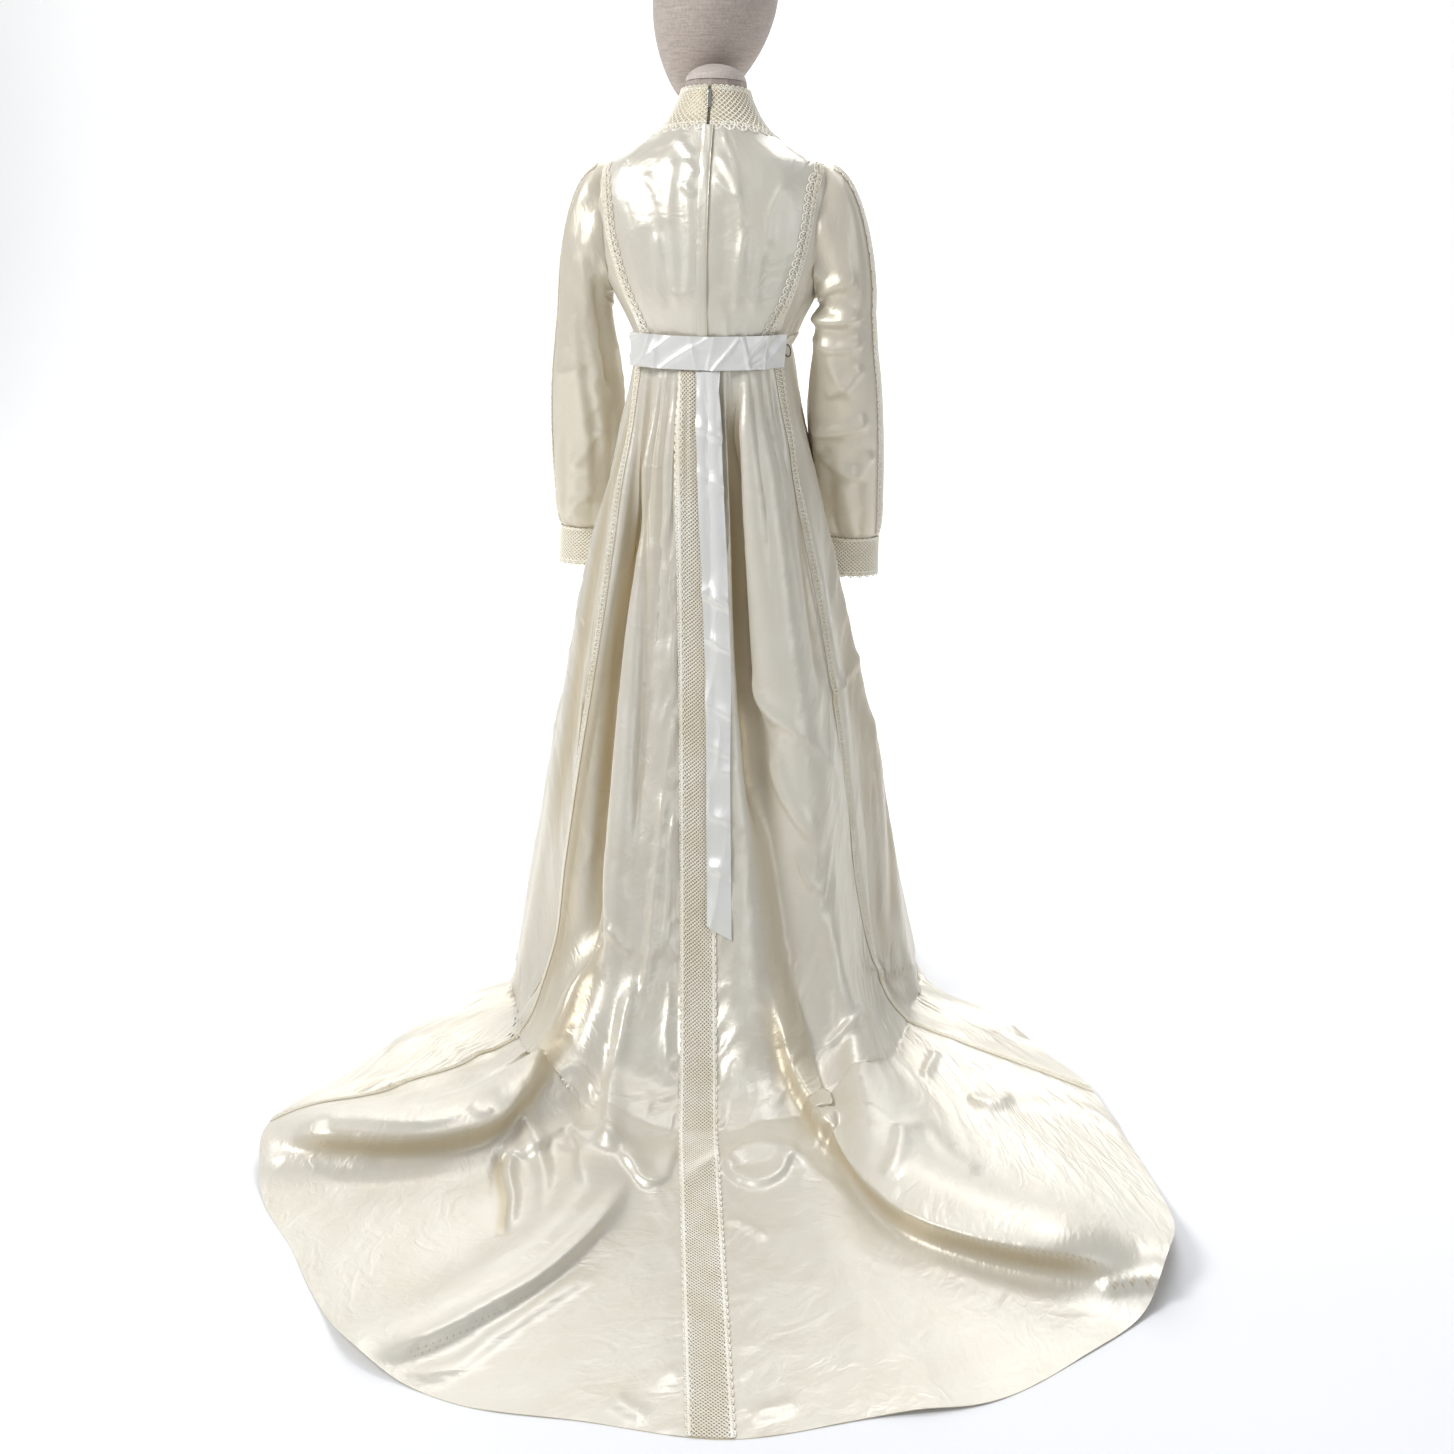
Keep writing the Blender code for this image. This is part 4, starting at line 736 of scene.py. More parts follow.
def draped(u, s, lift=0.0):
    """The skirt's satin with every crease, pucker and wrinkle, or a face this far off it."""
    u, s = np.broadcast_arrays(np.asarray(u, float), np.asarray(s, float))
    sizes = bpy.context.scene.gown_sizes
    form = skirt(u, s)
    out = -normals(skirt, u, s, 0.004, 0.004, (0.0, 1.0))
    move, painted_shade = creased(form, out, SKIRT_CREASES)
    fan = wrapped(at_seam(u, 3))
    around = fan / 57.3 * (0.12 + 0.9 * s)
    along = s * BACK_LENGTH
    count = len(SEAMS) - 1
    off_centre = (u - np.round(u / count) * count) * reach_per_panel(u, s)
    beside = np.clip((np.abs(off_centre) - CENTRE_LACE_HALF) / 0.004, 0, 1)
    beside *= np.exp(-np.clip(np.abs(off_centre) - CENTRE_LACE_HALF, 0, None) / 0.028)
    hanging = np.clip((s - 0.05) / 0.1, 0, 1) * (1 - 0.6 * np.clip((s - 0.66) / 0.1, 0, 1))
    pucker = sizes.pucker_mm / 1000 * beside * hanging
    pucker = pucker * (pinched(along / 0.030 + off_centre / 0.045, off_centre / 0.030, 3) - 0.35)
    fade = np.clip(s / 0.12, 0, 1) * np.clip((180 - np.abs(fan)) / 15, 0, 1)
    streak = pinched(around / 0.060 + along / 0.34, along / 0.20, 5)
    drag = pinched(around / 0.050 + along / 0.075, along / 0.11 - around / 0.16, 8)
    cross = pinched(around / 0.11 - along / 0.060, along / 0.13 + around / 0.20, 9)
    patchy = np.clip(0.45 + ripple(around / 0.14, along / 0.17, 10), 0, 1)
    other = np.clip(0.35 - ripple(around / 0.16, along / 0.21, 12), 0, 1)
    swell = ripple(around / 0.085, along / 0.15, 6)
    lying = np.clip((s - 0.60) / 0.15, 0, 1)
    fine = (0.9 - 0.4 * lying) * streak + 1.5 * patchy * drag + 1.2 * other * cross + 1.1 * swell
    nearest = np.round(u)
    lace_half = np.where(nearest % count == 0, CENTRE_LACE_HALF, SEAM_LACE_HALF)
    laced = np.clip((np.abs(u - nearest) * reach_per_panel(u, s) - lace_half) / 0.006, 0, 1)
    drape = ripple(fan / 9.5, along / 0.80, 14)
    fine = sizes.wrinkle_mm / 1000 * fade * laced * (0.62 * (1 - 0.55 * lying) * fine + 3.0 * (1 - lying) * drape)
    point = form + move + (pucker + fine + lift)[..., None] * out
    point[..., 2] = np.maximum(point[..., 2], WALL + lift)
    # Painted shade: on the satin under the centre back lace, and in the valleys of the long drape folds
    under_lace_shade = np.clip((CENTRE_LACE_HALF - 0.003 - np.abs(off_centre)) / 0.004, 0, 1)
    valley_shade = VALLEY_SHADE * (1 - lying) * fade * np.clip(-1.5 * drape, 0, 1)
    return point, out, np.maximum(np.maximum(painted_shade, valley_shade), LACE_SHADE * under_lace_shade)


def bodice_face(angle, height, lift=0.0):
    angle, height = np.broadcast_arrays(np.asarray(angle, float), np.asarray(height, float))
    out = figure_out(angle, height)
    form = off_figure(angle, height, WALL)
    move, painted_shade = creased(form, out, BODICE_CREASES)
    sizes = bpy.context.scene.gown_sizes
    across = angle / 57.3 * 0.15
    inside = np.clip((height - WAIST) / 0.02, 0, 1) * np.clip((NECKLINE - height) / 0.015, 0, 1)
    heights = column(BODICE_LACE, 0)
    outer, inner = smooth(height, heights, column(BODICE_LACE, 1)), smooth(height, heights, column(BODICE_LACE, 2))
    folded = np.abs(wrapped(angle))
    folded = np.minimum(folded, 180 - folded)
    # Painted shade on the satin under the lace braids, up to the shoulder
    laced = np.clip(folded - outer + 0.62 * (outer - inner), 0, 1) * np.clip(outer + 1 - folded, 0, 1)
    painted_shade = np.maximum(painted_shade, LACE_SHADE * laced * np.clip((SHOULDER - height) / 0.004, 0, 1))
    upright = pinched(across / 0.026 + height / 0.19, height / 0.12, 21)
    slant = pinched(across / 0.040 - height / 0.050, height / 0.07, 24) * np.clip(ripple(across / 0.06, height / 0.06, 25), 0, 1)
    swell = ripple(across / 0.045, height / 0.06, 22)
    ease = np.clip(1 - (height - WAIST) / 0.05, 0, 1) * ripple(across / 0.007, height / 0.05, 23)
    fine = sizes.wrinkle_mm / 1000 * inside * (0.9 * upright + 1.3 * slant + 0.7 * swell + 0.7 * ease)
    return form + move + (fine + lift)[..., None] * out, out, painted_shade


def sleeve_face(turn, t, side, lift=0.0):
    turn, t = np.broadcast_arrays(np.asarray(turn, float), np.asarray(t, float))
    out = on_side(normals(sleeve, turn, t, 0.03, 0.008, (0.0, 1.0)), side)
    form = swayed(on_side(sleeve(turn, t), side))
    move, painted_shade = creased(form, out, SLEEVE_CREASES)
    sizes = bpy.context.scene.gown_sizes
    seed = 31 if side == "right" else 41
    around = turn / (2 * np.pi) * 12
    off_lace = np.abs(wrapped(np.degrees(turn)))
    plain = np.clip(off_lace / 45 - 0.6, 0, 1)
    upright = pinched(around * 0.8 + t * 3, t * 4, seed) * np.clip(0.5 + ripple(around * 0.4, t * 5, seed + 4), 0, 1)
    slant = pinched(around * 0.6 + t * 11, t * 7 - around * 0.3, seed + 5)
    slant = slant * np.clip(0.3 + ripple(around * 0.5, t * 6, seed + 6), 0, 1)
    swell = ripple(around * 0.9, t * 7, seed + 1)
    cuff = np.clip((t - 0.80) / 0.15, 0, 1) * ripple(around * 2.6, t * 5, seed + 2)
    head = np.clip((0.10 - t) / 0.08, 0, 1) * ripple(around * 2.6, t * 5, seed + 3)
    ends = np.clip(t / 0.02, 0, 1) * np.clip((1 - t) / 0.02, 0, 1)
    fine = 1.8 * upright + 2.0 * slant + 1.0 * swell + 1.4 * cuff + head
    fine = sizes.wrinkle_mm / 1000 * plain * ends * fine
    # Painted shade: a share all over the sleeve for its creamier light, and more under the lace strip
    under_lace_shade = np.clip((SLEEVE_LACE_HALF_DEG - 2 - off_lace) / 3, 0, 1)
    painted_shade = np.maximum(painted_shade, SLEEVE_PAINTED_SHADE + (LACE_SHADE - SLEEVE_PAINTED_SHADE) * under_lace_shade + 0 * t)
    return form + move + (fine + lift)[..., None] * out, out, painted_shade


# Meshes


def new_object(name, mesh, material, body=GOWN):
    obj = bpy.data.objects.new(name, mesh)
    bpy.context.scene.collection.objects.link(obj)
    mesh.materials.append(material)
    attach(obj, body)
    return obj


def cloth(name, outer, out, material, uv, painted_shade=None, wall=WALL, tube=False, floor=True):
    """A closed cloth from a grid of points: an outer face, an inner face a wall inside it, and edges."""
    rows, columns = outer.shape[:2]
    inner = outer - wall * out
    if floor:
        inner[..., 2] = np.maximum(inner[..., 2], 0.0)
    points = np.concatenate([outer.reshape(-1, 3), inner.reshape(-1, 3)])
    ids = np.arange(rows * columns).reshape(rows, columns)
    if tube:
        ids = np.concatenate([ids, ids[:, :1]], axis=1)
    a, b, c, d = ids[:-1, :-1], ids[:-1, 1:], ids[1:, 1:], ids[1:, :-1]
    shift = rows * columns
    front = np.stack([a, b, c, d], axis=-1).reshape(-1, 4)
    quads = [front, front[:, ::-1] + shift]
    for edge, turn in ((ids[0], 1), (ids[-1], -1)):
        strip = np.stack([edge[1:], edge[:-1], edge[:-1] + shift, edge[1:] + shift], axis=1)
        quads.append(strip[:, ::turn])
    if not tube:
        for edge, turn in ((ids[:, 0], -1), (ids[:, -1], 1)):
            strip = np.stack([edge[1:], edge[:-1], edge[:-1] + shift, edge[1:] + shift], axis=1)
            quads.append(strip[:, ::turn])
    quads = np.concatenate(quads)
    corners = outer[1, 1] - outer[0, 0], outer[1, 0] - outer[0, 1]
    if np.dot(np.cross(corners[1], corners[0]), out[0, 0]) > 0:
        quads = quads[:, ::-1]
    mesh = bpy.data.meshes.new(name)
    mesh.from_pydata(points.tolist(), [], quads.tolist())
    mesh.update()
    layer = mesh.uv_layers.new(name="cloth")
    both = np.concatenate([uv.reshape(-1, 2), uv.reshape(-1, 2)])
    loops = np.empty(len(mesh.loops), np.int32)
    mesh.loops.foreach_get("vertex_index", loops)
    layer.data.foreach_set("uv", both[loops].astype(np.float32).ravel())
    # Painted shade per point: the outer face takes the share given, the inner face at least 0.6 as painted shade inside
    # the cloth
    depth = mesh.attributes.new("painted_shade", "FLOAT", "POINT")
    deep = np.zeros(rows * columns) if painted_shade is None else np.clip(painted_shade, 0, 1).ravel()
    depth.data.foreach_set("value", np.concatenate([deep, np.maximum(deep, 0.6)]).astype(np.float32))
    mesh.shade_smooth()
    mesh.set_sharp_from_angle(angle=math.radians(70))
    return new_object(name, mesh, material)


def net_bars(low, high, length, pitch):
    """Diamonds of a net between two lines along a strip, as bars from (a, b) to (a, b)."""
    across = max(2, round((high - low) / (pitch / 2)))
    along = max(2, round(length / (pitch / 2)))
    i, j = np.meshgrid(np.arange(across + 1), np.arange(along + 1), indexing="ij")
    keep = (i + j) % 2 == 0
    i, j = i[keep], j[keep]
    bars = []
    for step in (1, -1):
        ends = (i + step >= 0) & (i + step <= across) & (j + 1 <= along)
        start = np.stack([low + i[ends] * (high - low) / across, j[ends] * length / along], axis=1)
        end = start + np.array([step * (high - low) / across, length / along])
        bars.append(np.concatenate([start, end], axis=1))
    return np.concatenate(bars)


def scallop_bars(edge, depth, length, pitch):
    """Fans along an edge: an outer arc, an inner arc and spokes for each."""
    count = max(1, round(length / pitch))
    pitch = length / count
    arc = np.linspace(0, math.pi, 7)
    bars = []
    for k in range(count):
        middle = (k + 0.5) * pitch
        rings = []
        for size in (1.0, 0.5):
            ring = np.stack([edge + size * depth * np.sin(arc), middle - size * 0.5 * pitch * np.cos(arc)], axis=1)
            rings.append(ring)
            bars.append(np.concatenate([ring[:-1], ring[1:]], axis=1))
        spokes = [1, 3, 5]
        bars.append(np.concatenate([rings[1][spokes], rings[0][spokes]], axis=1))
    return np.concatenate(bars)


def line_bars(a, length, step):
    stops = np.linspace(0, length, max(2, round(length / step)) + 1)
    line = np.stack([np.full_like(stops, a), stops], axis=1)
    return np.concatenate([line[:-1], line[1:]], axis=1)


def zigzag_bars(low, high, length, step):
    stops = np.linspace(0, length, max(2, round(length / step)) + 1)
    line = np.stack([np.where(np.arange(len(stops)) % 2, high, low), stops], axis=1)
    return np.concatenate([line[:-1], line[1:]], axis=1)


def threads(name, parts, place, material):
    """Threads of three sides along bars of a strip. parts lists bars, width and height in metres."""
    points = []
    for bars, width, height in parts:
        start, end = bars[:, :2], bars[:, 2:]
        across = unit(end - start)[:, ::-1] * np.array([1, -1]) * width / 2
        for spot in (start, end):
            for side, rise in ((1, 0.0), (-1, 0.0), (0, height)):
                at = spot + side * across
                points.append(place(at[:, 0], at[:, 1], rise))
    faces = []
    offset = 0
    for k in range(0, len(points), 6):
        count = len(points[k])
        n = np.arange(count) * 6 + offset
        for quad in ((0, 2, 5, 3), (2, 1, 4, 5), (1, 0, 3, 4)):
            faces.extend(np.stack([n + q for q in quad], axis=1).tolist())
        offset += count * 6
    stacked = [np.stack(points[k : k + 6], axis=1).reshape(-1, 3) for k in range(0, len(points), 6)]
    mesh = bpy.data.meshes.new(name)
    mesh.from_pydata(np.concatenate(stacked).tolist(), [], faces)
    mesh.update()
    fix = bmesh.new()
    fix.from_mesh(mesh)
    bmesh.ops.recalc_face_normals(fix, faces=fix.faces)
    fix.to_mesh(mesh)
    fix.free()
    return new_object(name, mesh, material)


# Materials


def per_metre(millimetres):
    """The scale that gives a pattern of this size where coordinates are metres."""
    return 1000.0 / millimetres


def add_node(tree, kind, inputs=None, **settings):
    """Adds a node, sets its properties, and sets or links its inputs."""
    node = tree.nodes.new(kind)
    for name, value in settings.items():
        setattr(node, name, value)
    for name, value in (inputs or {}).items():
        if isinstance(value, bpy.types.NodeSocket):
            tree.links.new(value, node.inputs[name])
        else:
            node.inputs[name].default_value = value
    return node


def new_material(name, **shader_inputs):
    material = bpy.data.materials.new(name)
    material.use_nodes = True
    tree = material.node_tree
    shader = tree.nodes["Principled BSDF"]
    for key, value in shader_inputs.items():
        shader.inputs[key.replace("_", " ")].default_value = value
    return material, tree, shader


def mixed(tree, share, low, high):
    node = add_node(tree, "ShaderNodeMix", data_type="RGBA")
    for name, value in (("A", low), ("B", high)):
        socket = [s for s in node.inputs if s.name == name and s.type == "RGBA"][0]
        if isinstance(value, bpy.types.NodeSocket):
            tree.links.new(value, socket)
        else:
            socket.default_value = (*value, 1.0)
    tree.links.new(share, node.inputs[0])
    return [s for s in node.outputs if s.type == "RGBA"][0]


def ranged(tree, value, low, high, from_low=0.0, from_high=1.0):
    inputs = {"Value": value, "From Min": from_low, "From Max": from_high, "To Min": low, "To Max": high}
    return add_node(tree, "ShaderNodeMapRange", inputs).outputs["Result"]


def satin_material(name, face, deep, roughness, crumple):
    """Duchess satin: long warp floats give a soft streaky gloss; the warm light and shade that folds hold is painted
    into the colour, mixed towards the deep colour by a per-point attribute.
    """
    material, tree, shader = new_material(
        name, Specular_IOR_Level=0.7, Metallic=0.26, Anisotropic=0.6, Sheen_Weight=0.10, Sheen_Roughness=0.35
    )
    uv = add_node(tree, "ShaderNodeUVMap", uv_map="cloth").outputs["UV"]
    painted_shade = add_node(tree, "ShaderNodeAttribute", attribute_name="painted_shade").outputs["Fac"]
    # Warp floats are 0.1 mm wide and are drawn 1.2 mm wide, so that they show
    streak_at = add_node(tree, "ShaderNodeMapping", {"Vector": uv, "Scale": (1.0, 0.06, 1.0)}).outputs["Vector"]
    streak = add_node(tree, "ShaderNodeTexNoise", {"Vector": streak_at, "Scale": per_metre(1.2), "Detail": 2.0})
    patch = add_node(tree, "ShaderNodeTexNoise", {"Vector": uv, "Scale": per_metre(90), "Detail": 3.0})
    tone = ranged(tree, patch.outputs["Fac"], 0.0, 0.18, 0.35, 0.75)
    # Painted shade from the attribute, or a random patchy tone, whichever is more, mixes the face colour towards the
    # deep colour
    shade = add_node(tree, "ShaderNodeMath", {0: painted_shade, 1: tone}, operation="MAXIMUM").outputs["Value"]
    colour = mixed(tree, shade, face, deep)
    tree.links.new(colour, shader.inputs["Base Color"])
    gloss = ranged(tree, streak.outputs["Fac"], roughness - 0.06, roughness + 0.08, 0.3, 0.7)
    tree.links.new(gloss, shader.inputs["Roughness"])
    bump = None
    for size, depth in ((62, 0.011), (25, 0.004)):
        crush = add_node(tree, "ShaderNodeTexNoise", {"Vector": uv, "Scale": per_metre(size), "Distortion": 0.9})
        ridge = add_node(tree, "ShaderNodeMath", {0: crush.outputs["Fac"], 1: 0.5}, operation="SUBTRACT")
        ridge = add_node(tree, "ShaderNodeMath", {0: ridge.outputs["Value"]}, operation="ABSOLUTE")
        inputs = {"Height": ridge.outputs["Value"], "Strength": crumple, "Distance": depth}
        if bump:
            inputs["Normal"] = bump.outputs["Normal"]
        bump = add_node(tree, "ShaderNodeBump", inputs, invert=True)
    weave = add_node(
        tree,
        "ShaderNodeBump",
        {"Height": streak.outputs["Fac"], "Strength": 0.12, "Distance": 0.0004, "Normal": bump.outputs["Normal"]},
    )
    tree.links.new(weave.outputs["Normal"], shader.inputs["Normal"])
    tangent = add_node(tree, "ShaderNodeTangent", direction_type="UV_MAP", uv_map="cloth")
    tree.links.new(tangent.outputs["Tangent"], shader.inputs["Tangent"])
    return material


def cotton_lace_material(name, face, deep):
    """Crocheted cotton lace: matt twisted thread with a faint fuzz, a little yellowed in places."""
    material, tree, shader = new_material(name, Roughness=0.82, Sheen_Weight=0.25, Sheen_Roughness=0.5)
    at = add_node(tree, "ShaderNodeTexCoord").outputs["Object"]
    age = add_node(tree, "ShaderNodeTexNoise", {"Vector": at, "Scale": per_metre(60), "Detail": 2.0})
    colour = mixed(tree, ranged(tree, age.outputs["Fac"], 0, 1, 0.35, 0.7), face, deep)
    tree.links.new(colour, shader.inputs["Base Color"])
    twist = add_node(tree, "ShaderNodeTexNoise", {"Vector": at, "Scale": per_metre(0.9), "Detail": 2.0})
    bump = add_node(
        tree, "ShaderNodeBump", {"Height": twist.outputs["Fac"], "Strength": 0.6, "Distance": 0.0005}
    )
    tree.links.new(bump.outputs["Normal"], shader.inputs["Normal"])
    return material


def linen_material(name, face, deep):
    """Plain-woven linen over padding: matt, with slubs, drawn at twice its 1 mm thread spacing."""
    material, tree, shader = new_material(name, Roughness=0.9, Sheen_Weight=0.2)
    at = add_node(tree, "ShaderNodeTexCoord").outputs["Object"]
    heights = []
    for scale in ((1.0, 1.0, 0.08), (0.08, 0.08, 1.0)):
        turned = add_node(tree, "ShaderNodeMapping", {"Vector": at, "Scale": scale}).outputs["Vector"]
        heights.append(add_node(tree, "ShaderNodeTexNoise", {"Vector": turned, "Scale": per_metre(2.0), "Detail": 1.0}))
    both = add_node(tree, "ShaderNodeMath", {0: heights[0].outputs["Fac"], 1: heights[1].outputs["Fac"]})
    colour = mixed(tree, ranged(tree, both.outputs["Value"], 0, 1, 0.7, 1.3), deep, face)
    tree.links.new(colour, shader.inputs["Base Color"])
    bump = add_node(
        tree, "ShaderNodeBump", {"Height": both.outputs["Value"], "Strength": 0.5, "Distance": 0.0006}
    )
    tree.links.new(bump.outputs["Normal"], shader.inputs["Normal"])
    return material


def metal_material(name, colour, roughness, grain_mm, stretch):
    """Metal with a fine grain: brushed steel has long scratches, nickel plate a short soft one."""
    material, tree, shader = new_material(name, Base_Color=(*colour, 1.0), Metallic=1.0)
    at = add_node(tree, "ShaderNodeTexCoord").outputs["Object"]
    turned = add_node(tree, "ShaderNodeMapping", {"Vector": at, "Scale": stretch}).outputs["Vector"]
    grain = add_node(tree, "ShaderNodeTexNoise", {"Vector": turned, "Scale": per_metre(grain_mm), "Detail": 2.0})
    rough = ranged(tree, grain.outputs["Fac"], roughness - 0.08, roughness + 0.10, 0.3, 0.7)
    tree.links.new(rough, shader.inputs["Roughness"])
    bump = add_node(tree, "ShaderNodeBump", {"Height": grain.outputs["Fac"], "Strength": 0.15, "Distance": 0.0002})
    tree.links.new(bump.outputs["Normal"], shader.inputs["Normal"])
    return material


def paint_material(name, colour):
    """Matt emulsion on the studio floor and wall, with a barely uneven tone."""
    material, tree, shader = new_material(name, Roughness=0.75)
    at = add_node(tree, "ShaderNodeTexCoord").outputs["Object"]
    patch = add_node(tree, "ShaderNodeTexNoise", {"Vector": at, "Scale": per_metre(700), "Detail": 2.0})
    darker = tuple(0.97 * c for c in colour)
    tree.links.new(mixed(tree, patch.outputs["Fac"], colour, darker), shader.inputs["Base Color"])
    return material


def made(name, maker, *values):
    """A material by name, made the first time that it is asked for."""
    return bpy.data.materials.get(name) or maker(name, *values)


def satin():
    c = bpy.context.scene.gown_colours
    return made("duchess_satin", satin_material, tuple(c.satin), tuple(c.satin_painted_shade), 0.38, 0.22)


def ribbon():
    c = bpy.context.scene.gown_colours
    return made("satin_ribbon", satin_material, tuple(c.ribbon), tuple(c.ribbon_deep), 0.36, 0.08)


def lace():
    c = bpy.context.scene.gown_colours
    return made("crochet_cotton_lace", cotton_lace_material, tuple(c.lace), tuple(c.lace_deep))


def ground():
    # The lace ground's darker tone is painted shade under the lace
    c = bpy.context.scene.gown_colours
    return made("lace_ground_satin", satin_material, tuple(c.ground), tuple(c.satin_painted_shade), 0.5, 0.06)


# Pieces


def metre_uv(across, along):
    return np.stack(np.broadcast_arrays(across, along), axis=-1)


def skirt_rows(count):
    """Rows from waist to hem, closer together where the cloth rolls over on to the floor."""
    s = np.linspace(0, 1, 400)
    crowd = 1 + 0.9 * np.exp(-(((s - 0.72) / 0.17) ** 2))
    share = np.concatenate([[0], np.cumsum(crowd[1:] + crowd[:-1])])
    return np.interp(np.linspace(0, 1, count), share / share[-1], s)


def make_skirt():
    for name, first, _, columns, rows in PANELS:
        s = skirt_rows(rows)[:, None]
        edge = GAP / 2
        low = first + edge / reach_per_panel(first + SEAM_STEP, s)
        high = first + 1 - edge / reach_per_panel(first + 1 - SEAM_STEP, s)
        u = low + (high - low) * np.linspace(0, 1, columns)[None, :]
        points, out, painted_shade = draped(u, s)
        reach = reach_per_panel(first + 0.5, s)
        uv = metre_uv((u - first) * reach, s * BACK_LENGTH)
        panel = cloth(f"{name}_satin", points, out, satin(), uv, painted_shade)
        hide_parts(name)
        width, length, area = PANEL_CUTS[name]


def laid_on(face, low, high, length, lift):
    """Places a strip on a face of (a, b): a across it from low to high and b along it, in metres."""
    across = np.linspace(low, high, max(5, round((high - low) / STRIP_STEP) + 1))
    along = np.linspace(0, length, round(length / STRIP_STEP) + 1)
    points, out = face(across[:, None], along[None, :])[:2]

    def place(a, b, rise):
        x = np.clip((a - low) / (high - low), 0, 1) * (len(across) - 1)
        y = np.clip(b / length, 0, 1) * (len(along) - 1)
        i, j = np.minimum(x.astype(int), len(across) - 2), np.minimum(y.astype(int), len(along) - 2)
        fx, fy = (x - i)[:, None], (y - j)[:, None]

        def read(grid):
            near = grid[i, j] * (1 - fx) + grid[i + 1, j] * fx
            return near * (1 - fy) + (grid[i, j + 1] * (1 - fx) + grid[i + 1, j + 1] * fx) * fy

        return read(points) + (lift + rise) * unit(read(out))

    return place


def skirt_place(seam, low, high):
    """Places a strip that lies along a skirt seam."""

    def face(a, b):
        s = LACE_START + b / BACK_LENGTH * (1 - LACE_START)
        side = np.where(a < 0, -SEAM_STEP, SEAM_STEP)
        return draped(seam + a / reach_per_panel(seam + side, s), s)

    return laid_on(face, low, high, BACK_LENGTH, LACE_LIFT)


def make_skirt_lace():
    sizes = bpy.context.scene.gown_sizes
    pitch, thread, fan = sizes.net_mm / 1000, sizes.thread_mm / 1000, sizes.scallop_mm / 1000
    half, net = CENTRE_LACE_HALF, CENTRE_LACE_HALF - 0.010
    length = BACK_LENGTH
    thick = 0.9 * LACE
    parts = [
        (net_bars(-net, net, length, pitch), thread, 0.8 * LACE),
        (zigzag_bars(-net - 0.003, -net, length, 0.0042), 1.3 * thread, thick),
        (zigzag_bars(net, net + 0.003, length, 0.0042), 1.3 * thread, thick),
        (scallop_bars(net + 0.003, half - net - 0.003, length, fan), 1.6 * thread, thick),
        (scallop_bars(-net - 0.003, net + 0.003 - half, length, fan), 1.6 * thread, thick),
        (scallop_bars(net + 0.003, 0.5 * (half - net - 0.003), length, fan), 1.3 * thread, thick),
        (scallop_bars(-net - 0.003, 0.5 * (net + 0.003 - half), length, fan), 1.3 * thread, thick),
    ]
    piece = threads("lace_centre_back_net", parts, skirt_place(0, -CENTRE_LACE_HALF, CENTRE_LACE_HALF), lace())
    piece["on_panel"] = "skirt_back_right"
    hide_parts("lace_centre_back")
    for side, seam, panel in (("right", 1, "skirt_back_right"), ("left", 4, "skirt_back_left")):
        sign = 1 if side == "right" else -1
        parts = [
            (zigzag_bars(-sign * 0.008, -sign * 0.001, length, 0.0046), 1.2 * thread, thick),
            (zigzag_bars(-sign * 0.001, -sign * 0.008, length, 0.0046), 1.2 * thread, thick),
            (zigzag_bars(-sign * 0.001, sign * 0.004, length, 0.0040), 1.3 * thread, thick),
            (scallop_bars(sign * 0.004, sign * 0.0080, length, fan), 1.3 * thread, thick),
        ]
        piece = threads(f"lace_side_{side}_net", parts, skirt_place(seam, -0.012, 0.012), lace())
        piece["on_panel"] = panel
        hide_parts(f"lace_side_{side}")


def bodice_span(height):
    """The bodice's half in degrees at a height, from the centre line to armhole or side seam."""
    return 90.0 - armhole_edge(height)


def make_bodice():
    rows = np.unique(np.concatenate([np.linspace(WAIST, NECKLINE, 86), [ARMPIT, SHOULDER]]))[:, None]
    edge = bodice_span(rows)
    start = degrees_for(GAP / 2, 0.0, rows)
    share = np.linspace(0, 1, 64)[None, :]
    finish = edge - degrees_for(GAP / 2, edge, rows)
    right = start + (finish - start) * share
    spans = {
        "bodice_back_right": (right, (0.27, 0.33, 0.058)),
        "bodice_back_left": (360.0 - right[:, ::-1], (0.27, 0.33, 0.058)),
    }
    share = np.linspace(-1, 1, 116)[None, :]
    spans["bodice_front"] = (180.0 + (180.0 - edge - 2 * start) * share, (0.44, 0.33, 0.112))
    for name, (angles, cut) in spans.items():
        points, out, painted_shade = bodice_face(angles, rows)
        uv = metre_uv(angles / 57.3 * 0.15, rows + 0 * angles)
        panel = cloth(f"{name}_satin", points, out, satin(), uv, painted_shade, floor=False)
        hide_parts(name)
        width, length, area = cut


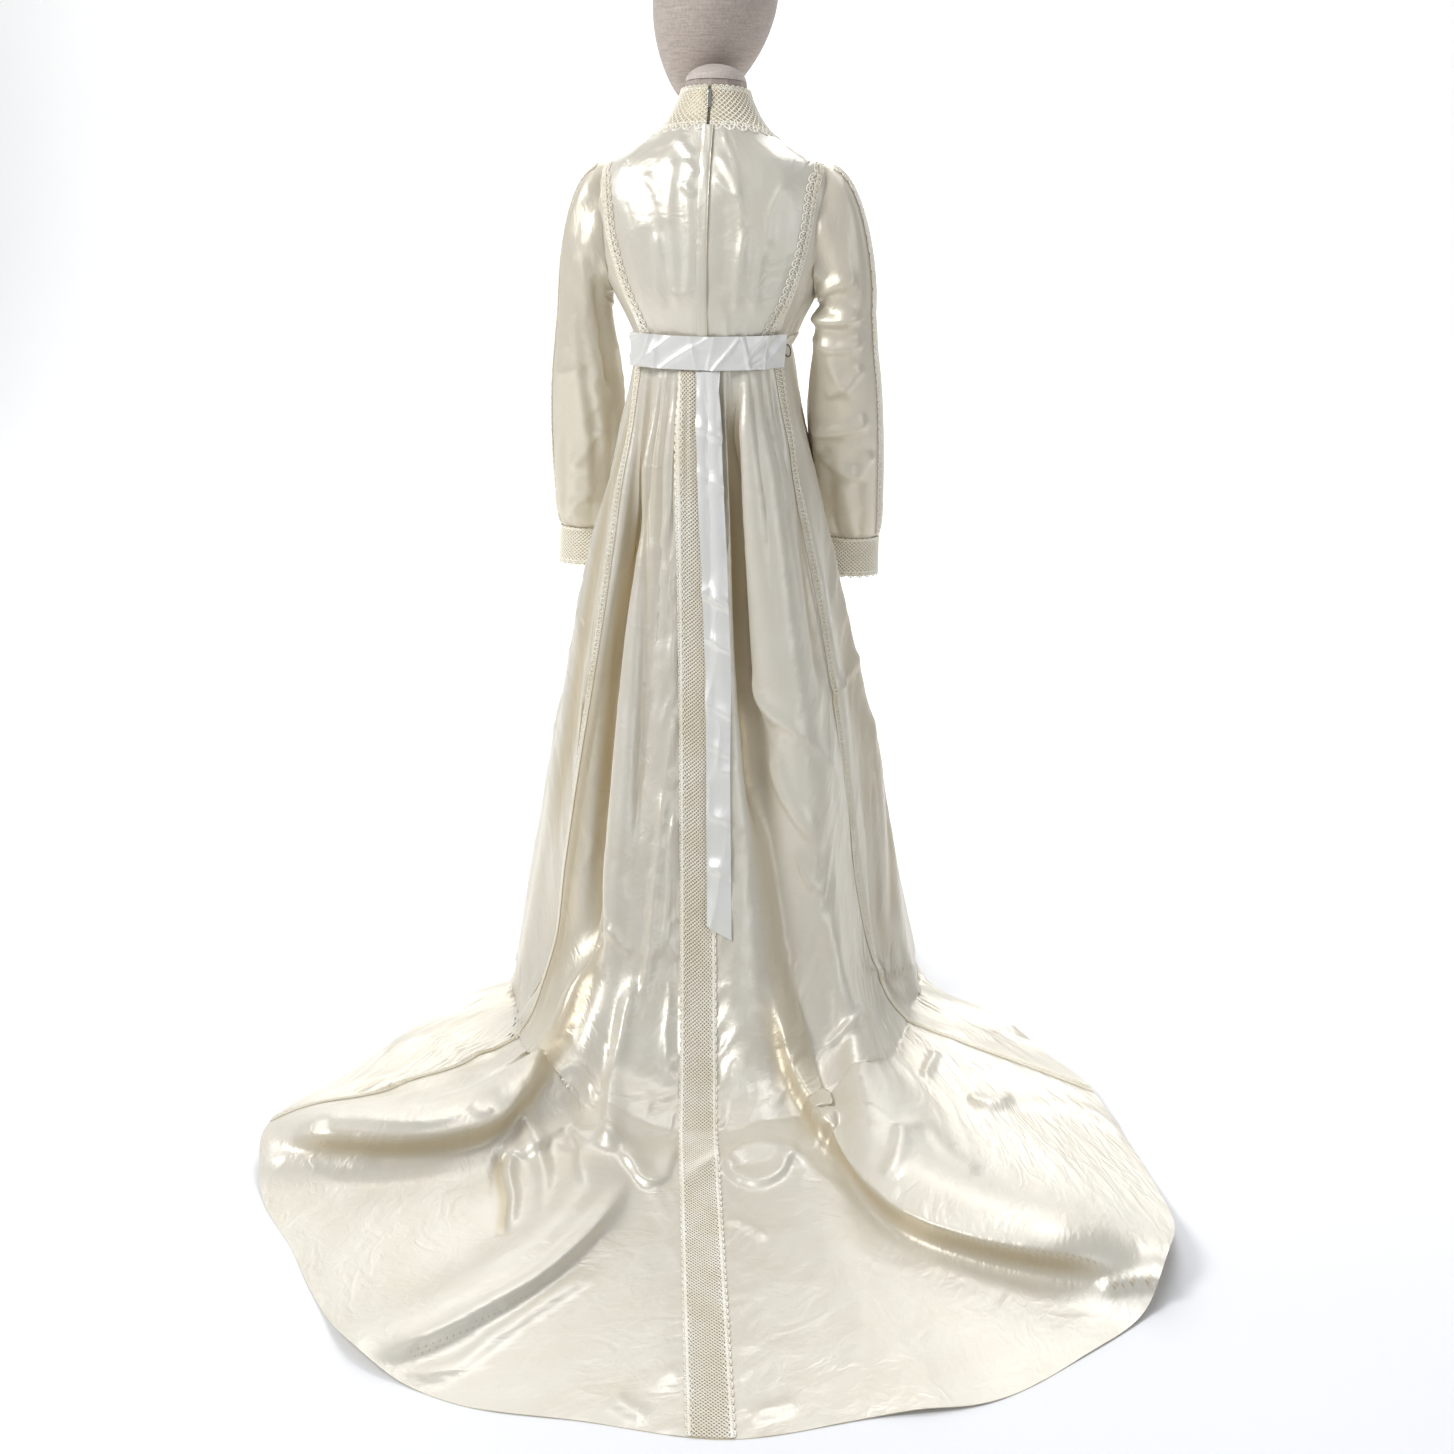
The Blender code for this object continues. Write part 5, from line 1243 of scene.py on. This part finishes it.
def make_bodice_lace():
    sizes = bpy.context.scene.gown_sizes
    thread, fan = sizes.thread_mm / 1000, sizes.scallop_mm / 1000
    length, width = 0.262, 0.026
    foot, top = WAIST_LACE_TOP + GAP, SHOULDER
    heights = column(BODICE_LACE, 0)
    parts = [
        (zigzag_bars(0.001, 0.0055, length, 0.0042), 1.2 * thread, 0.9 * LACE),
        (zigzag_bars(0.0055, 0.001, length, 0.0042), 1.2 * thread, 0.9 * LACE),
        (line_bars(0.0105, length, 0.006), 1.3 * thread, LACE),
        (zigzag_bars(0.0105, 0.0155, length, 0.0050), 1.2 * thread, LACE),
        (scallop_bars(0.0155, 0.0100, length, fan), 1.2 * thread, LACE),
        (scallop_bars(0.0105, -0.0048, length, 0.6 * fan), 1.1 * thread, LACE),
    ]
    for part, panel in (
        ("back_right", "bodice_back_right"),
        ("back_left", "bodice_back_left"),
        ("front_right", "bodice_front"),
        ("front_left", "bodice_front"),
    ):

        def face(a, b, part=part):
            height = foot + (top - foot) * b / length
            outer = np.minimum(smooth(height, heights, column(BODICE_LACE, 1)), bodice_span(height) - 0.8)
            inner = smooth(height, heights, column(BODICE_LACE, 2))
            angle = outer + (inner - outer) * a / width
            if part.startswith("front"):
                angle = 180.0 - angle
            if part.endswith("left"):
                angle = 360.0 - angle
            return bodice_face(angle, height)

        place = laid_on(face, 0.0, width, length, LACE_LIFT)
        piece = threads(f"lace_bodice_{part}_braid", parts, place, lace())
        piece["on_panel"] = panel
        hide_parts(f"lace_bodice_{part}")
    around = 0.77
    scale = 360.0 / around

    def ring(a, b):
        return bodice_face(b * scale, WAIST + 5 * GAP + a)

    parts = [
        (line_bars(0.0005, around, 0.006), 1.4 * thread, LACE),
        (zigzag_bars(0.001, 0.006, around, 0.0042), 1.2 * thread, LACE),
        (scallop_bars(0.006, 0.0105, around, 0.9 * fan), 1.2 * thread, LACE),
    ]
    place = laid_on(ring, 0.0, 0.018, around, LACE_LIFT)
    piece = threads("lace_waist_braid", parts, place, lace())
    piece["on_panel"] = "bodice_front"
    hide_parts("lace_waist")


def make_sleeves():
    sizes = bpy.context.scene.gown_sizes
    pitch, thread, fan = sizes.net_mm / 1000, sizes.thread_mm / 1000, sizes.scallop_mm / 1000
    turn = np.linspace(0, 2 * np.pi, 84, endpoint=False)[None, :]
    t = np.linspace(0, 1, 110)[:, None]
    length, half = 0.60, 0.023
    net = half - 0.009
    parts = [
        (net_bars(-net, net, length, pitch), thread, 0.9 * LACE),
        (zigzag_bars(-net - 0.003, -net, length, 0.0042), 1.3 * thread, LACE),
        (zigzag_bars(net, net + 0.003, length, 0.0042), 1.3 * thread, LACE),
        (scallop_bars(net + 0.003, 0.006, length, fan), 1.15 * thread, LACE),
        (scallop_bars(-net - 0.003, -0.006, length, fan), 1.15 * thread, LACE),
    ]
    for side in ("right", "left"):

        def face(a, b, side=side):
            turn_deg = SLEEVE_LACE_HALF_DEG * a / half
            return sleeve_face(np.radians(turn_deg), 0.03 + 0.962 * b / length, side)

        place = laid_on(face, -half, half, length, LACE_LIFT)
        net_piece = threads(f"lace_sleeve_{side}_net", parts, place, lace())
        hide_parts(f"lace_sleeve_{side}")
        points, out, painted_shade = sleeve_face(turn, t, side)
        uv = metre_uv(turn / (2 * np.pi) * 0.36, t * length)
        tube = cloth(f"sleeve_{side}_satin", points, out, satin(), uv, painted_shade, tube=True, floor=False)
        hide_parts(f"sleeve_{side}")


def make_collar():
    sizes = bpy.context.scene.gown_sizes
    pitch, thread, fan = sizes.net_mm / 1000, sizes.thread_mm / 1000, sizes.scallop_mm / 1000
    rows = np.linspace(NECKLINE + GAP, COLLAR_TOP, 26)[:, None]
    slit = degrees_for(ZIP_SLIT_HALF, 0.0, rows)
    angles = slit + (360.0 - 2 * slit) * np.linspace(0, 1, 150)[None, :]
    out = figure_out(angles, rows)
    uv = metre_uv(angles / 57.3 * 0.065, rows + 0 * angles)
    band = cloth(
        "collar_band", off_figure(angles, rows, WALL), out, ground(), uv, wall=WALL, floor=False
    )
    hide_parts("collar")
    around, tall = 0.42, NECKLINE - COLLAR_TOP
    top = COLLAR_TOP - 0.001

    def place(a, b, rise):
        height = top - a
        gap = degrees_for(ZIP_SLIT_HALF + 0.001, 0.0, height)
        return off_figure(gap + (360.0 - 2 * gap) * b / around, height, WALL + GAP + rise)

    net_low = -tall - 0.006
    parts = [
        (net_bars(0.006, net_low, around, 1.45 * pitch), 1.25 * thread, LACE),
        (line_bars(0.0055, around, 0.004), 1.4 * thread, LACE),
        (line_bars(net_low, around, 0.004), 1.4 * thread, LACE),
        (scallop_bars(0.006, -0.0075, around, 0.9 * fan), 1.35 * thread, LACE),
        (scallop_bars(net_low, 0.0095, around, fan), 1.35 * thread, LACE),
    ]
    net_piece = threads("collar_net", parts, place, lace())


def make_cuffs():
    sizes = bpy.context.scene.gown_sizes
    pitch, thread, fan = sizes.net_mm / 1000, sizes.thread_mm / 1000, sizes.scallop_mm / 1000
    top = SLEEVE[-1][0] - GAP
    tall = top - CUFF_FOOT
    around = 0.23

    def cuff_point(turn, below):
        share = below / tall
        turn, share = np.broadcast_arrays(turn, share)
        ring = sleeve_ring(turn, np.full(turn.shape, SLEEVE[-1][0]))
        centre = np.array([SLEEVE[-1][1], SLEEVE[-1][2], SLEEVE[-1][0]])
        out = unit((ring - centre) * np.array([1.0, 1.0, 0.0]))
        point = centre + (ring - centre) * (1 + (CUFF_FLARE - 1) * share)[..., None]
        point[..., 2] = top - share * tall
        return point, out

    for side in ("right", "left"):
        rows = np.linspace(0, tall, 22)[:, None]
        turn = np.linspace(0, 2 * np.pi, 80, endpoint=False)[None, :]
        inner, out = cuff_point(turn, rows)
        outer = swayed(on_side(inner + LACE * out, side))
        uv = metre_uv(turn / (2 * np.pi) * around, rows + 0 * turn)
        band = cloth(
            f"cuff_{side}_band", outer, on_side(out, side), ground(), uv, wall=0.9 * LACE, tube=True, floor=False
        )
        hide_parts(f"cuff_{side}")

        def place(a, b, rise, side=side):
            point, out = cuff_point(2 * np.pi * b / around, a)
            return swayed(on_side(point + (LACE + GAP + rise) * out, side))

        parts = [
            (net_bars(0.004, tall - 0.006, around, pitch), 1.15 * thread, LACE),
            (line_bars(0.0035, around, 0.004), 1.4 * thread, LACE),
            (line_bars(tall - 0.006, around, 0.004), 1.4 * thread, LACE),
            (scallop_bars(tall - 0.006, 0.0085, around, 0.9 * fan), 1.2 * thread, LACE),
            (scallop_bars(0.0035, -0.003, around, 0.6 * fan), 1.2 * thread, LACE),
        ]
        net_piece = threads(f"cuff_{side}_net", parts, place, lace())


def make_bow():
    angles = np.linspace(*BOW_ENDS_DEG, 150)[None, :]
    rows = np.linspace(0, 1, 22)[:, None]
    ends = np.where(angles < 0, BOW_ENDS_DEG[0], BOW_ENDS_DEG[1])
    proud = 0.0008 + np.clip(angles / ends, 0, 1) ** 3 * np.where(angles < 0, *BOW_PROUD)
    seams = (SEAMS[4][1] - 360.0, SEAMS[0][1], SEAMS[1][1])
    u = np.interp(angles, seams, (-1.0, 0.0, 1.0))
    top = off_figure(angles, BOW_TOP, WALL + GAP + LACE + GAP)
    out = unit(top * np.array([1.0, 1.0, 0.0]))
    foot = skirt_base(u, np.full_like(u, BOW_ROW)) + BOW_FOOT_CLEAR * out
    foot[..., 2] = BOW_FOOT
    body = top + (foot - top) * rows[..., None] + (proud[..., None] + BAND) * out
    swell = np.zeros((len(rows), angles.shape[1]))
    for top_deg, foot_deg, height in BOW_PLEATS:
        off = (angles - (top_deg + (foot_deg - top_deg) * rows)) / 2.2
        swell += height / 1000 * np.exp(-np.where(off < 0, off * 3, off) ** 2)
    swell += 0.0030 * pinched(angles / 16 + rows, rows * 1.6 + angles / 30, 51) + 0.0016 * ripple(angles / 9, rows * 2, 52)
    body = body + swell[..., None] * out
    out = np.broadcast_to(out, body.shape)
    uv = metre_uv(angles / 57.3 * 0.12, rows * 0.05)
    band = cloth("bow_band_satin", body, out, ribbon(), uv, wall=BAND, floor=False)
    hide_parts("bow_band")
    make_streamer()
    make_loops()


def make_streamer():
    length = (STREAMER_SHARE - LACE_START) * BACK_LENGTH
    rows = np.linspace(0, length, 300)[:, None]
    share = np.linspace(0, 1, 24)[None, :]
    s = LACE_START + rows / BACK_LENGTH
    cut = 0.028 * (share - 0.5) * np.clip((rows - 0.9 * length) / (0.1 * length), 0, 1)
    s = s + cut / BACK_LENGTH
    drift = STREAMER_DRIFT * np.clip(rows / 0.45, 0, 1)
    across = drift + STREAMER_WIDTH * share
    u = across / reach_per_panel(SEAM_STEP, s)
    lift = np.full(u.shape, 2 * GAP + LACE + RIBBON)
    for spot, height in STREAMER_BANDS:
        off = (rows - spot - 0.022 * (share - 0.5)) / 0.013
        lift += height / 1000 * np.exp(-np.where(off > 0, off * 2.2, off) ** 2)
    lift += 0.0030 * pinched(share * 1.3 + rows / 0.2, rows / 0.07, 61) + 0.0016 * ripple(share * 2, rows / 0.04, 62)
    form = skirt(u, s)
    out = -normals(skirt, u, s, 0.004, 0.004, (0.0, 1.0))
    move, _ = creased(form, out, SKIRT_CREASES)
    points = form + move + (lift + 0.0035)[..., None] * out
    uv = metre_uv(share * STREAMER_WIDTH, rows + 0 * share)
    ribbon_piece = cloth("bow_streamer_satin", points, out, ribbon(), uv, wall=0.0008)
    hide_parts("bow_streamer")


def make_loops():
    """Small thread loops at the waist's sides, which hold the bow's ends."""
    c = bpy.context.scene.gown_colours
    material = made("waxed_button_thread", cotton_lace_material, tuple(c.loop), tuple(c.loop))
    for name, angle in (("left", -66.0), ("right", 72.0)):
        centre = Vector(off_figure(angle, WAIST - 0.004, WALL + 0.007))
        curve = bpy.data.curves.new(f"loop_{name}", "CURVE")
        curve.dimensions = "3D"
        curve.bevel_depth = 0.0009
        curve.bevel_resolution = 3
        curve.use_fill_caps = True
        spline = curve.splines.new("POLY")
        out = Vector(figure_out(angle, WAIST))
        stops = np.linspace(-2.3, 2.3, 15)
        spline.points.add(len(stops) - 1)
        for point, stop in zip(spline.points, stops):
            spot = centre + out * 0.006 * math.cos(stop) + Vector((0, 0, 0.009)) * math.sin(stop)
            point.co = (*spot, 1.0)
        loop = bpy.data.objects.new(f"loop_{name}", curve)
        bpy.context.scene.collection.objects.link(loop)
        curve.materials.append(material)
        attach(loop, GOWN)


def make_placket():
    rows = np.linspace(WAIST_LACE_TOP + GAP, NECKLINE - GAP, 120)[:, None]
    share = np.linspace(-1, 1, 17)[None, :]
    half = degrees_for(PLACKET_HALF, 0.0, rows)
    pinch = 0.0006 * pinched(rows / 0.016 + share, share, 71) * np.clip((rows - 1.29) / 0.03, 0, 1)
    fold = 0.0016 - 0.0006 * share**2 + pinch + 0.0005 * ripple(share, rows / 0.03, 72)
    slit = -0.0007 * np.exp(-(((share - 0.80) / 0.10) ** 2))
    angles = half * share
    out = figure_out(angles, rows)
    form = off_figure(angles, rows, WALL + GAP + PLACKET)
    points = form + (fold + slit)[..., None] * out
    uv = metre_uv(share * PLACKET_HALF, rows + 0 * share)
    # Painted shade in the zip slit and along the strip's two edges
    painted_shade = 0.3 * np.exp(-(((share - 0.80) / 0.12) ** 2)) + 0.5 * np.abs(share) ** 12 + 0 * rows
    strip = cloth("zip_placket_satin", points, out, satin(), uv, painted_shade, wall=0.0010, floor=False)
    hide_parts("zip_placket")


def make_zip():
    c = bpy.context.scene.gown_colours
    nickel = made("nickel_plate", metal_material, tuple(c.nickel), 0.26, 0.8, (1.0, 1.0, 1.0))
    for name in ("zip_slider", "zip_pull"):
        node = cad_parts[name]
        node.data.materials.clear()
        node.data.materials.append(nickel)
    teeth = bmesh.new()
    pitch = 0.0013
    count = int((COLLAR_TOP - NECKLINE - 0.008) / pitch)
    for k in range(count):
        height = NECKLINE + 0.004 + k * pitch
        side = -1 if k % 2 else 1
        angle = side * float(degrees_for(0.0007, 0.0, np.array(height)))
        spot = off_figure(angle, height, 0.0006)
        made_verts = bmesh.ops.create_cube(teeth, size=1.0)["verts"]
        bmesh.ops.scale(teeth, vec=(0.0018, 0.0009, 0.0008), verts=made_verts)
        bmesh.ops.translate(teeth, vec=Vector(spot), verts=made_verts)
    bevelled = [edge for edge in teeth.edges]
    bmesh.ops.bevel(teeth, geom=bevelled, offset=0.00015, segments=1, affect="EDGES")
    mesh = bpy.data.meshes.new("zip_teeth")
    teeth.to_mesh(mesh)
    teeth.free()
    new_object("zip_teeth", mesh, nickel)


def cap_rings(grow, steps, levels):
    height, half_width, _, _, centre_y, tilt = FIGURE[-1]
    angles = np.radians(steps)
    rings = []
    for level in np.radians(levels):
        radius = (half_width - EASE + grow) * math.cos(level)
        rise = (NECK_CAP_HEIGHT + grow) * math.sin(level) + GAP
        y = centre_y - radius * np.cos(angles)
        rings.append(np.stack([radius * np.sin(angles), y, height + rise - tilt * (y - centre_y)], axis=1))
    return rings


def lofted(name, rings):
    solid = bmesh.new()
    rows = [[solid.verts.new(Vector(point)) for point in ring] for ring in rings]
    count = len(rows[0])
    for low, high in zip(rows, rows[1:]):
        for c in range(count):
            d = (c + 1) % count
            solid.faces.new((low[c], low[d], high[d], high[c]))
    solid.faces.new(rows[0])
    solid.faces.new(rows[-1])
    bmesh.ops.recalc_face_normals(solid, faces=solid.faces)
    mesh = bpy.data.meshes.new(name)
    solid.to_mesh(mesh)
    solid.free()
    return mesh


def make_form():
    c = bpy.context.scene.gown_colours
    linen = made("padded_linen", linen_material, tuple(c.linen), tuple(c.linen_deep))
    cap_linen = made("bleached_linen", linen_material, tuple(c.cap), tuple(c.linen))
    steel = made("brushed_steel", metal_material, tuple(c.steel), 0.34, 1.2, (1.0, 1.0, 0.05))
    for name, material in (("form_torso", linen), ("form_pole", steel), ("form_base", steel)):
        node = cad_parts[name]
        node.data.materials.clear()
        node.data.materials.append(material)
    steps = np.arange(0.0, 360.0, 5.0)
    cap = lofted("neck_cap", cap_rings(0.0, steps, (0.0, 9.0, 18.0, 27.0, 36.0, 45.0, 54.0, 63.0, 72.0, 80.0, 86.0)))
    cap.shade_smooth()
    cap.set_sharp_from_angle(angle=math.radians(50))
    neck = new_object("neck_cap_linen", cap, cap_linen)
    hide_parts("form_neck")
    egg = bmesh.new()
    bmesh.ops.create_uvsphere(egg, u_segments=120, v_segments=72, radius=1.0)
    seam = math.radians(HEAD_SEAM_DEG)
    for vert in egg.verts:
        taper = 1.0 + 0.16 * vert.co.z - 0.10 * vert.co.z**2
        around = math.atan2(vert.co.x, -vert.co.y) - seam
        groove = 1.0 - 0.008 * math.exp(-((around / 0.03) ** 2))
        vert.co.x *= HEAD_SIZE[0] * taper * groove
        vert.co.y *= HEAD_SIZE[1] * taper * groove
        vert.co.z *= HEAD_SIZE[2]
    mesh = bpy.data.meshes.new("head")
    egg.to_mesh(mesh)
    egg.free()
    head = bpy.data.objects.new("head_linen", mesh)
    bpy.context.scene.collection.objects.link(head)
    mesh.materials.append(linen)
    tilt = Euler((math.radians(HEAD_TILT_DEG[0]), math.radians(HEAD_TILT_DEG[1]), 0.0))
    mesh.transform(Matrix.LocRotScale(Vector(HEAD_CENTRE), tilt, None))
    rings = [off_figure(steps, height, WALL + HEAD_CLEAR) for height in (1.386, 1.405, COLLAR_TOP)]
    cutter = bpy.data.objects.new("neck_cutter", lofted("neck_cutter", rings + cap_rings(GAP, steps, (0, 18, 36, 54, 70, 82))))
    bpy.context.scene.collection.objects.link(cutter)
    cut = head.modifiers.new("seat", "BOOLEAN")
    cut.operation = "DIFFERENCE"
    cut.object = cutter
    with bpy.context.temp_override(object=head, active_object=head, selected_objects=[head]):
        bpy.ops.object.modifier_apply(modifier=cut.name)
    bpy.data.objects.remove(cutter)
    head.data.shade_smooth()
    head.data.set_sharp_from_angle(angle=math.radians(50))
    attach(head, GOWN)
    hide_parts("form_head")


def make_stage():
    c = bpy.context.scene.gown_colours
    paint = made("matt_studio_paint", paint_material, tuple(c.floor))
    profile = [(-7.0, 0.0), (3.2, 0.0)]
    profile += [(3.2 + 1.6 * math.sin(a), 1.6 - 1.6 * math.cos(a)) for a in np.linspace(0.1, math.pi / 2, 16)]
    profile.append((4.8, 6.0))
    points = [(x, y, z) for x in (-9.0, 9.0) for y, z in profile]
    count = len(profile)
    faces = [(k, k + 1, count + k + 1, count + k) for k in range(count - 1)]
    mesh = bpy.data.meshes.new("studio_cove")
    mesh.from_pydata(points, [], faces)
    mesh.shade_smooth()
    mesh.materials.append(paint)
    cove = bpy.data.objects.new("studio_cove", mesh)
    bpy.context.scene.collection.objects.link(cove)
    cove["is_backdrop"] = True
    place, right, up, ahead, _ = camera_axes()
    camera = bpy.data.cameras.new("camera")
    camera.lens = LENS_MM
    camera.sensor_width = SENSOR_MM
    viewer = bpy.data.objects.new("camera", camera)
    bpy.context.scene.collection.objects.link(viewer)
    viewer.location = place
    viewer.rotation_euler = (math.radians(90 - CAMERA_DIP_DEG), 0.0, math.radians(CAMERA_TURN_DEG))
    bpy.context.scene.camera = viewer
    # name, place, aim, size, watts, colour
    lamps = [
        ("key", (-2.4, -2.0, 3.0), (0.0, -0.3, 0.6), 1.5, 94, "#FBFCFF"),
        ("fill", (3.2, -2.6, 1.8), (0.1, -0.3, 0.6), 2.2, 22, "#F2F6FF"),
        ("top", (0.5, 1.2, 3.6), (0.1, -0.5, 0.2), 2.0, 48, "#F4F6FF"),
        ("front", (-0.5, 3.4, 2.4), (0.0, 0.0, 0.8), 2.2, 26, "#FFFFFF"),
        ("backdrop", (-0.9, 2.0, 4.2), (-0.9, 4.8, 1.6), 3.6, 190, "#FFFFFF"),
    ]
    for name, spot, aim, size, watts, colour in lamps:
        lamp = bpy.data.lights.new(name, "AREA")
        lamp.shape = "DISK"
        lamp.size = size
        lamp.energy = watts
        lamp.color = linear(colour)
        holder = bpy.data.objects.new(name, lamp)
        bpy.context.scene.collection.objects.link(holder)
        holder.location = spot
        holder.rotation_euler = (Vector(aim) - Vector(spot)).to_track_quat("-Z", "Y").to_euler()
    world = bpy.data.worlds.new("studio")
    bpy.context.scene.world = world
    world.use_nodes = True
    sky = world.node_tree.nodes["Background"]
    sky.inputs["Color"].default_value = (*linear("#F4F6FA"), 1.0)
    sky.inputs["Strength"].default_value = 0.40
    bpy.context.scene.view_settings.view_transform = "Standard"


# The add-on's settings, operators and panel


class GownSizes(bpy.types.PropertyGroup):
    """Sizes of the lace and of the satin's small wrinkles, in millimetres."""

    net_mm: bpy.props.FloatProperty(
        name="Net", description="Width of one diamond of the lace net, in mm", default=5.8, min=3, max=12
    )
    thread_mm: bpy.props.FloatProperty(
        name="Thread", description="Width of a lace thread, in mm", default=1.55, min=0.4, max=3
    )
    scallop_mm: bpy.props.FloatProperty(
        name="Scallop", description="Width of one scallop along a lace edge, in mm", default=13.5, min=6, max=30
    )
    wrinkle_mm: bpy.props.FloatProperty(
        name="Wrinkles", description="Height of the satin's small wrinkles, in mm", default=2.4, min=0, max=6
    )
    pucker_mm: bpy.props.FloatProperty(
        name="Puckers", description="Height of the puckers beside the back lace, in mm", default=7.0, min=0, max=10
    )


def colour_property(name, description, hex_colour):
    return bpy.props.FloatVectorProperty(
        name=name, description=description, subtype="COLOR", size=3, min=0, max=1, default=linear(hex_colour)
    )


class GownColours(bpy.types.PropertyGroup):
    """Colours of the finishes."""

    satin: colour_property("Satin", "Ivory satin in full light", "#DDD8CA")
    # The colour that painted shade mixes the satin towards: in folds, under lace and on inner faces
    satin_painted_shade: colour_property("Satin in folds", "Satin where it lies deep in a fold", "#C0AD84")
    ribbon: colour_property("Ribbon", "Cool white satin ribbon", "#E8E7E2")
    ribbon_deep: colour_property("Ribbon in folds", "Ribbon where it is shaded", "#D2CFC4")
    lace: colour_property("Lace", "Cream cotton lace", "#FCF8EC")
    lace_deep: colour_property("Aged lace", "Lace where it has yellowed", "#F3ECD9")
    # A darker tone of the satin under the collar and cuff lace, as painted shade under the lace
    ground: colour_property("Lace ground", "Satin under the lace of collar and cuffs", "#C9BC9A")
    loop: colour_property("Thread loops", "Dark thread loops at the waist", "#5A4632")
    linen: colour_property("Linen", "Grey-beige linen of the form", "#BDB1A7")
    linen_deep: colour_property("Linen weave", "Linen between its threads", "#A2968C")
    cap: colour_property("Neck cap", "Paler linen of the neck cap", "#CFC5BB")
    steel: colour_property("Steel", "Brushed steel of the stand", "#A9A9AB")
    nickel: colour_property("Nickel", "Nickel plate of the zip", "#B9B7B2")
    floor: colour_property("Floor", "Pale studio floor", "#F3F3F2")


class GownStep:
    """What the operators share."""

    bl_options = {"REGISTER", "UNDO"}
    steps = ()

    def execute(self, context):
        for step in self.steps:
            step()
        return {"FINISHED"}


class GOWN_OT_stage(GownStep, bpy.types.Operator):
    """Adds the floor, the lights and the camera"""

    bl_idname = "gown.stage"
    bl_label = "Stage"
    steps = (make_stage,)


class GOWN_OT_form(GownStep, bpy.types.Operator):
    """Finishes the dress form, its head, neck cap, pole and base"""

    bl_idname = "gown.form"
    bl_label = "Dress form"
    steps = (make_form,)


class GOWN_OT_bodice(GownStep, bpy.types.Operator):
    """Makes the satin bodice with its lace and placket"""

    bl_idname = "gown.bodice"
    bl_label = "Bodice"
    steps = (make_bodice_lace, make_bodice, make_placket)


class GOWN_OT_collar(GownStep, bpy.types.Operator):
    """Makes the lace collar and the zip"""

    bl_idname = "gown.collar"
    bl_label = "Collar, cuffs and zip"
    steps = (make_collar, make_zip)


class GOWN_OT_sleeves(GownStep, bpy.types.Operator):
    """Makes the satin sleeves with their lace strips and cuffs"""

    bl_idname = "gown.sleeves"
    bl_label = "Sleeves"
    steps = (make_sleeves, make_cuffs)


class GOWN_OT_skirt(GownStep, bpy.types.Operator):
    """Makes the skirt and train with the lace over their seams"""

    bl_idname = "gown.skirt"
    bl_label = "Skirt and train"
    steps = (make_skirt_lace, make_skirt)


class GOWN_OT_bow(GownStep, bpy.types.Operator):
    """Makes the ribbon bow, its streamer and its loops"""

    bl_idname = "gown.bow"
    bl_label = "Bow"
    steps = (make_bow,)


OPERATORS = (
    GOWN_OT_stage,
    GOWN_OT_form,
    GOWN_OT_bodice,
    GOWN_OT_collar,
    GOWN_OT_sleeves,
    GOWN_OT_skirt,
    GOWN_OT_bow,
)


class GOWN_PT_panel(bpy.types.Panel):
    """Lists the gown's settings and steps"""

    bl_idname = "GOWN_PT_panel"
    bl_label = "Wedding gown"
    bl_space_type = "VIEW_3D"
    bl_region_type = "UI"
    bl_category = "Gown"

    def draw(self, context):
        for group in (context.scene.gown_sizes, context.scene.gown_colours):
            for name in group.__annotations__:
                self.layout.prop(group, name)
        for operator in OPERATORS:
            self.layout.operator(operator.bl_idname)


CLASSES = (GownSizes, GownColours, *OPERATORS, GOWN_PT_panel)


def register():
    for cls in CLASSES:
        bpy.utils.register_class(cls)
    bpy.types.Scene.gown_sizes = bpy.props.PointerProperty(type=GownSizes)
    bpy.types.Scene.gown_colours = bpy.props.PointerProperty(type=GownColours)


def unregister():
    del bpy.types.Scene.gown_sizes
    del bpy.types.Scene.gown_colours
    for cls in reversed(CLASSES):
        bpy.utils.unregister_class(cls)


def main():
    register()
    for operator in OPERATORS:
        getattr(bpy.ops.gown, operator.bl_idname.split(".")[1])()
    boxes = {"cad": CAD_BOX, "visual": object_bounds()}
    {name: [list(corner) for corner in box] for name, box in boxes.items()}


if __name__ == "__main__":
    main()
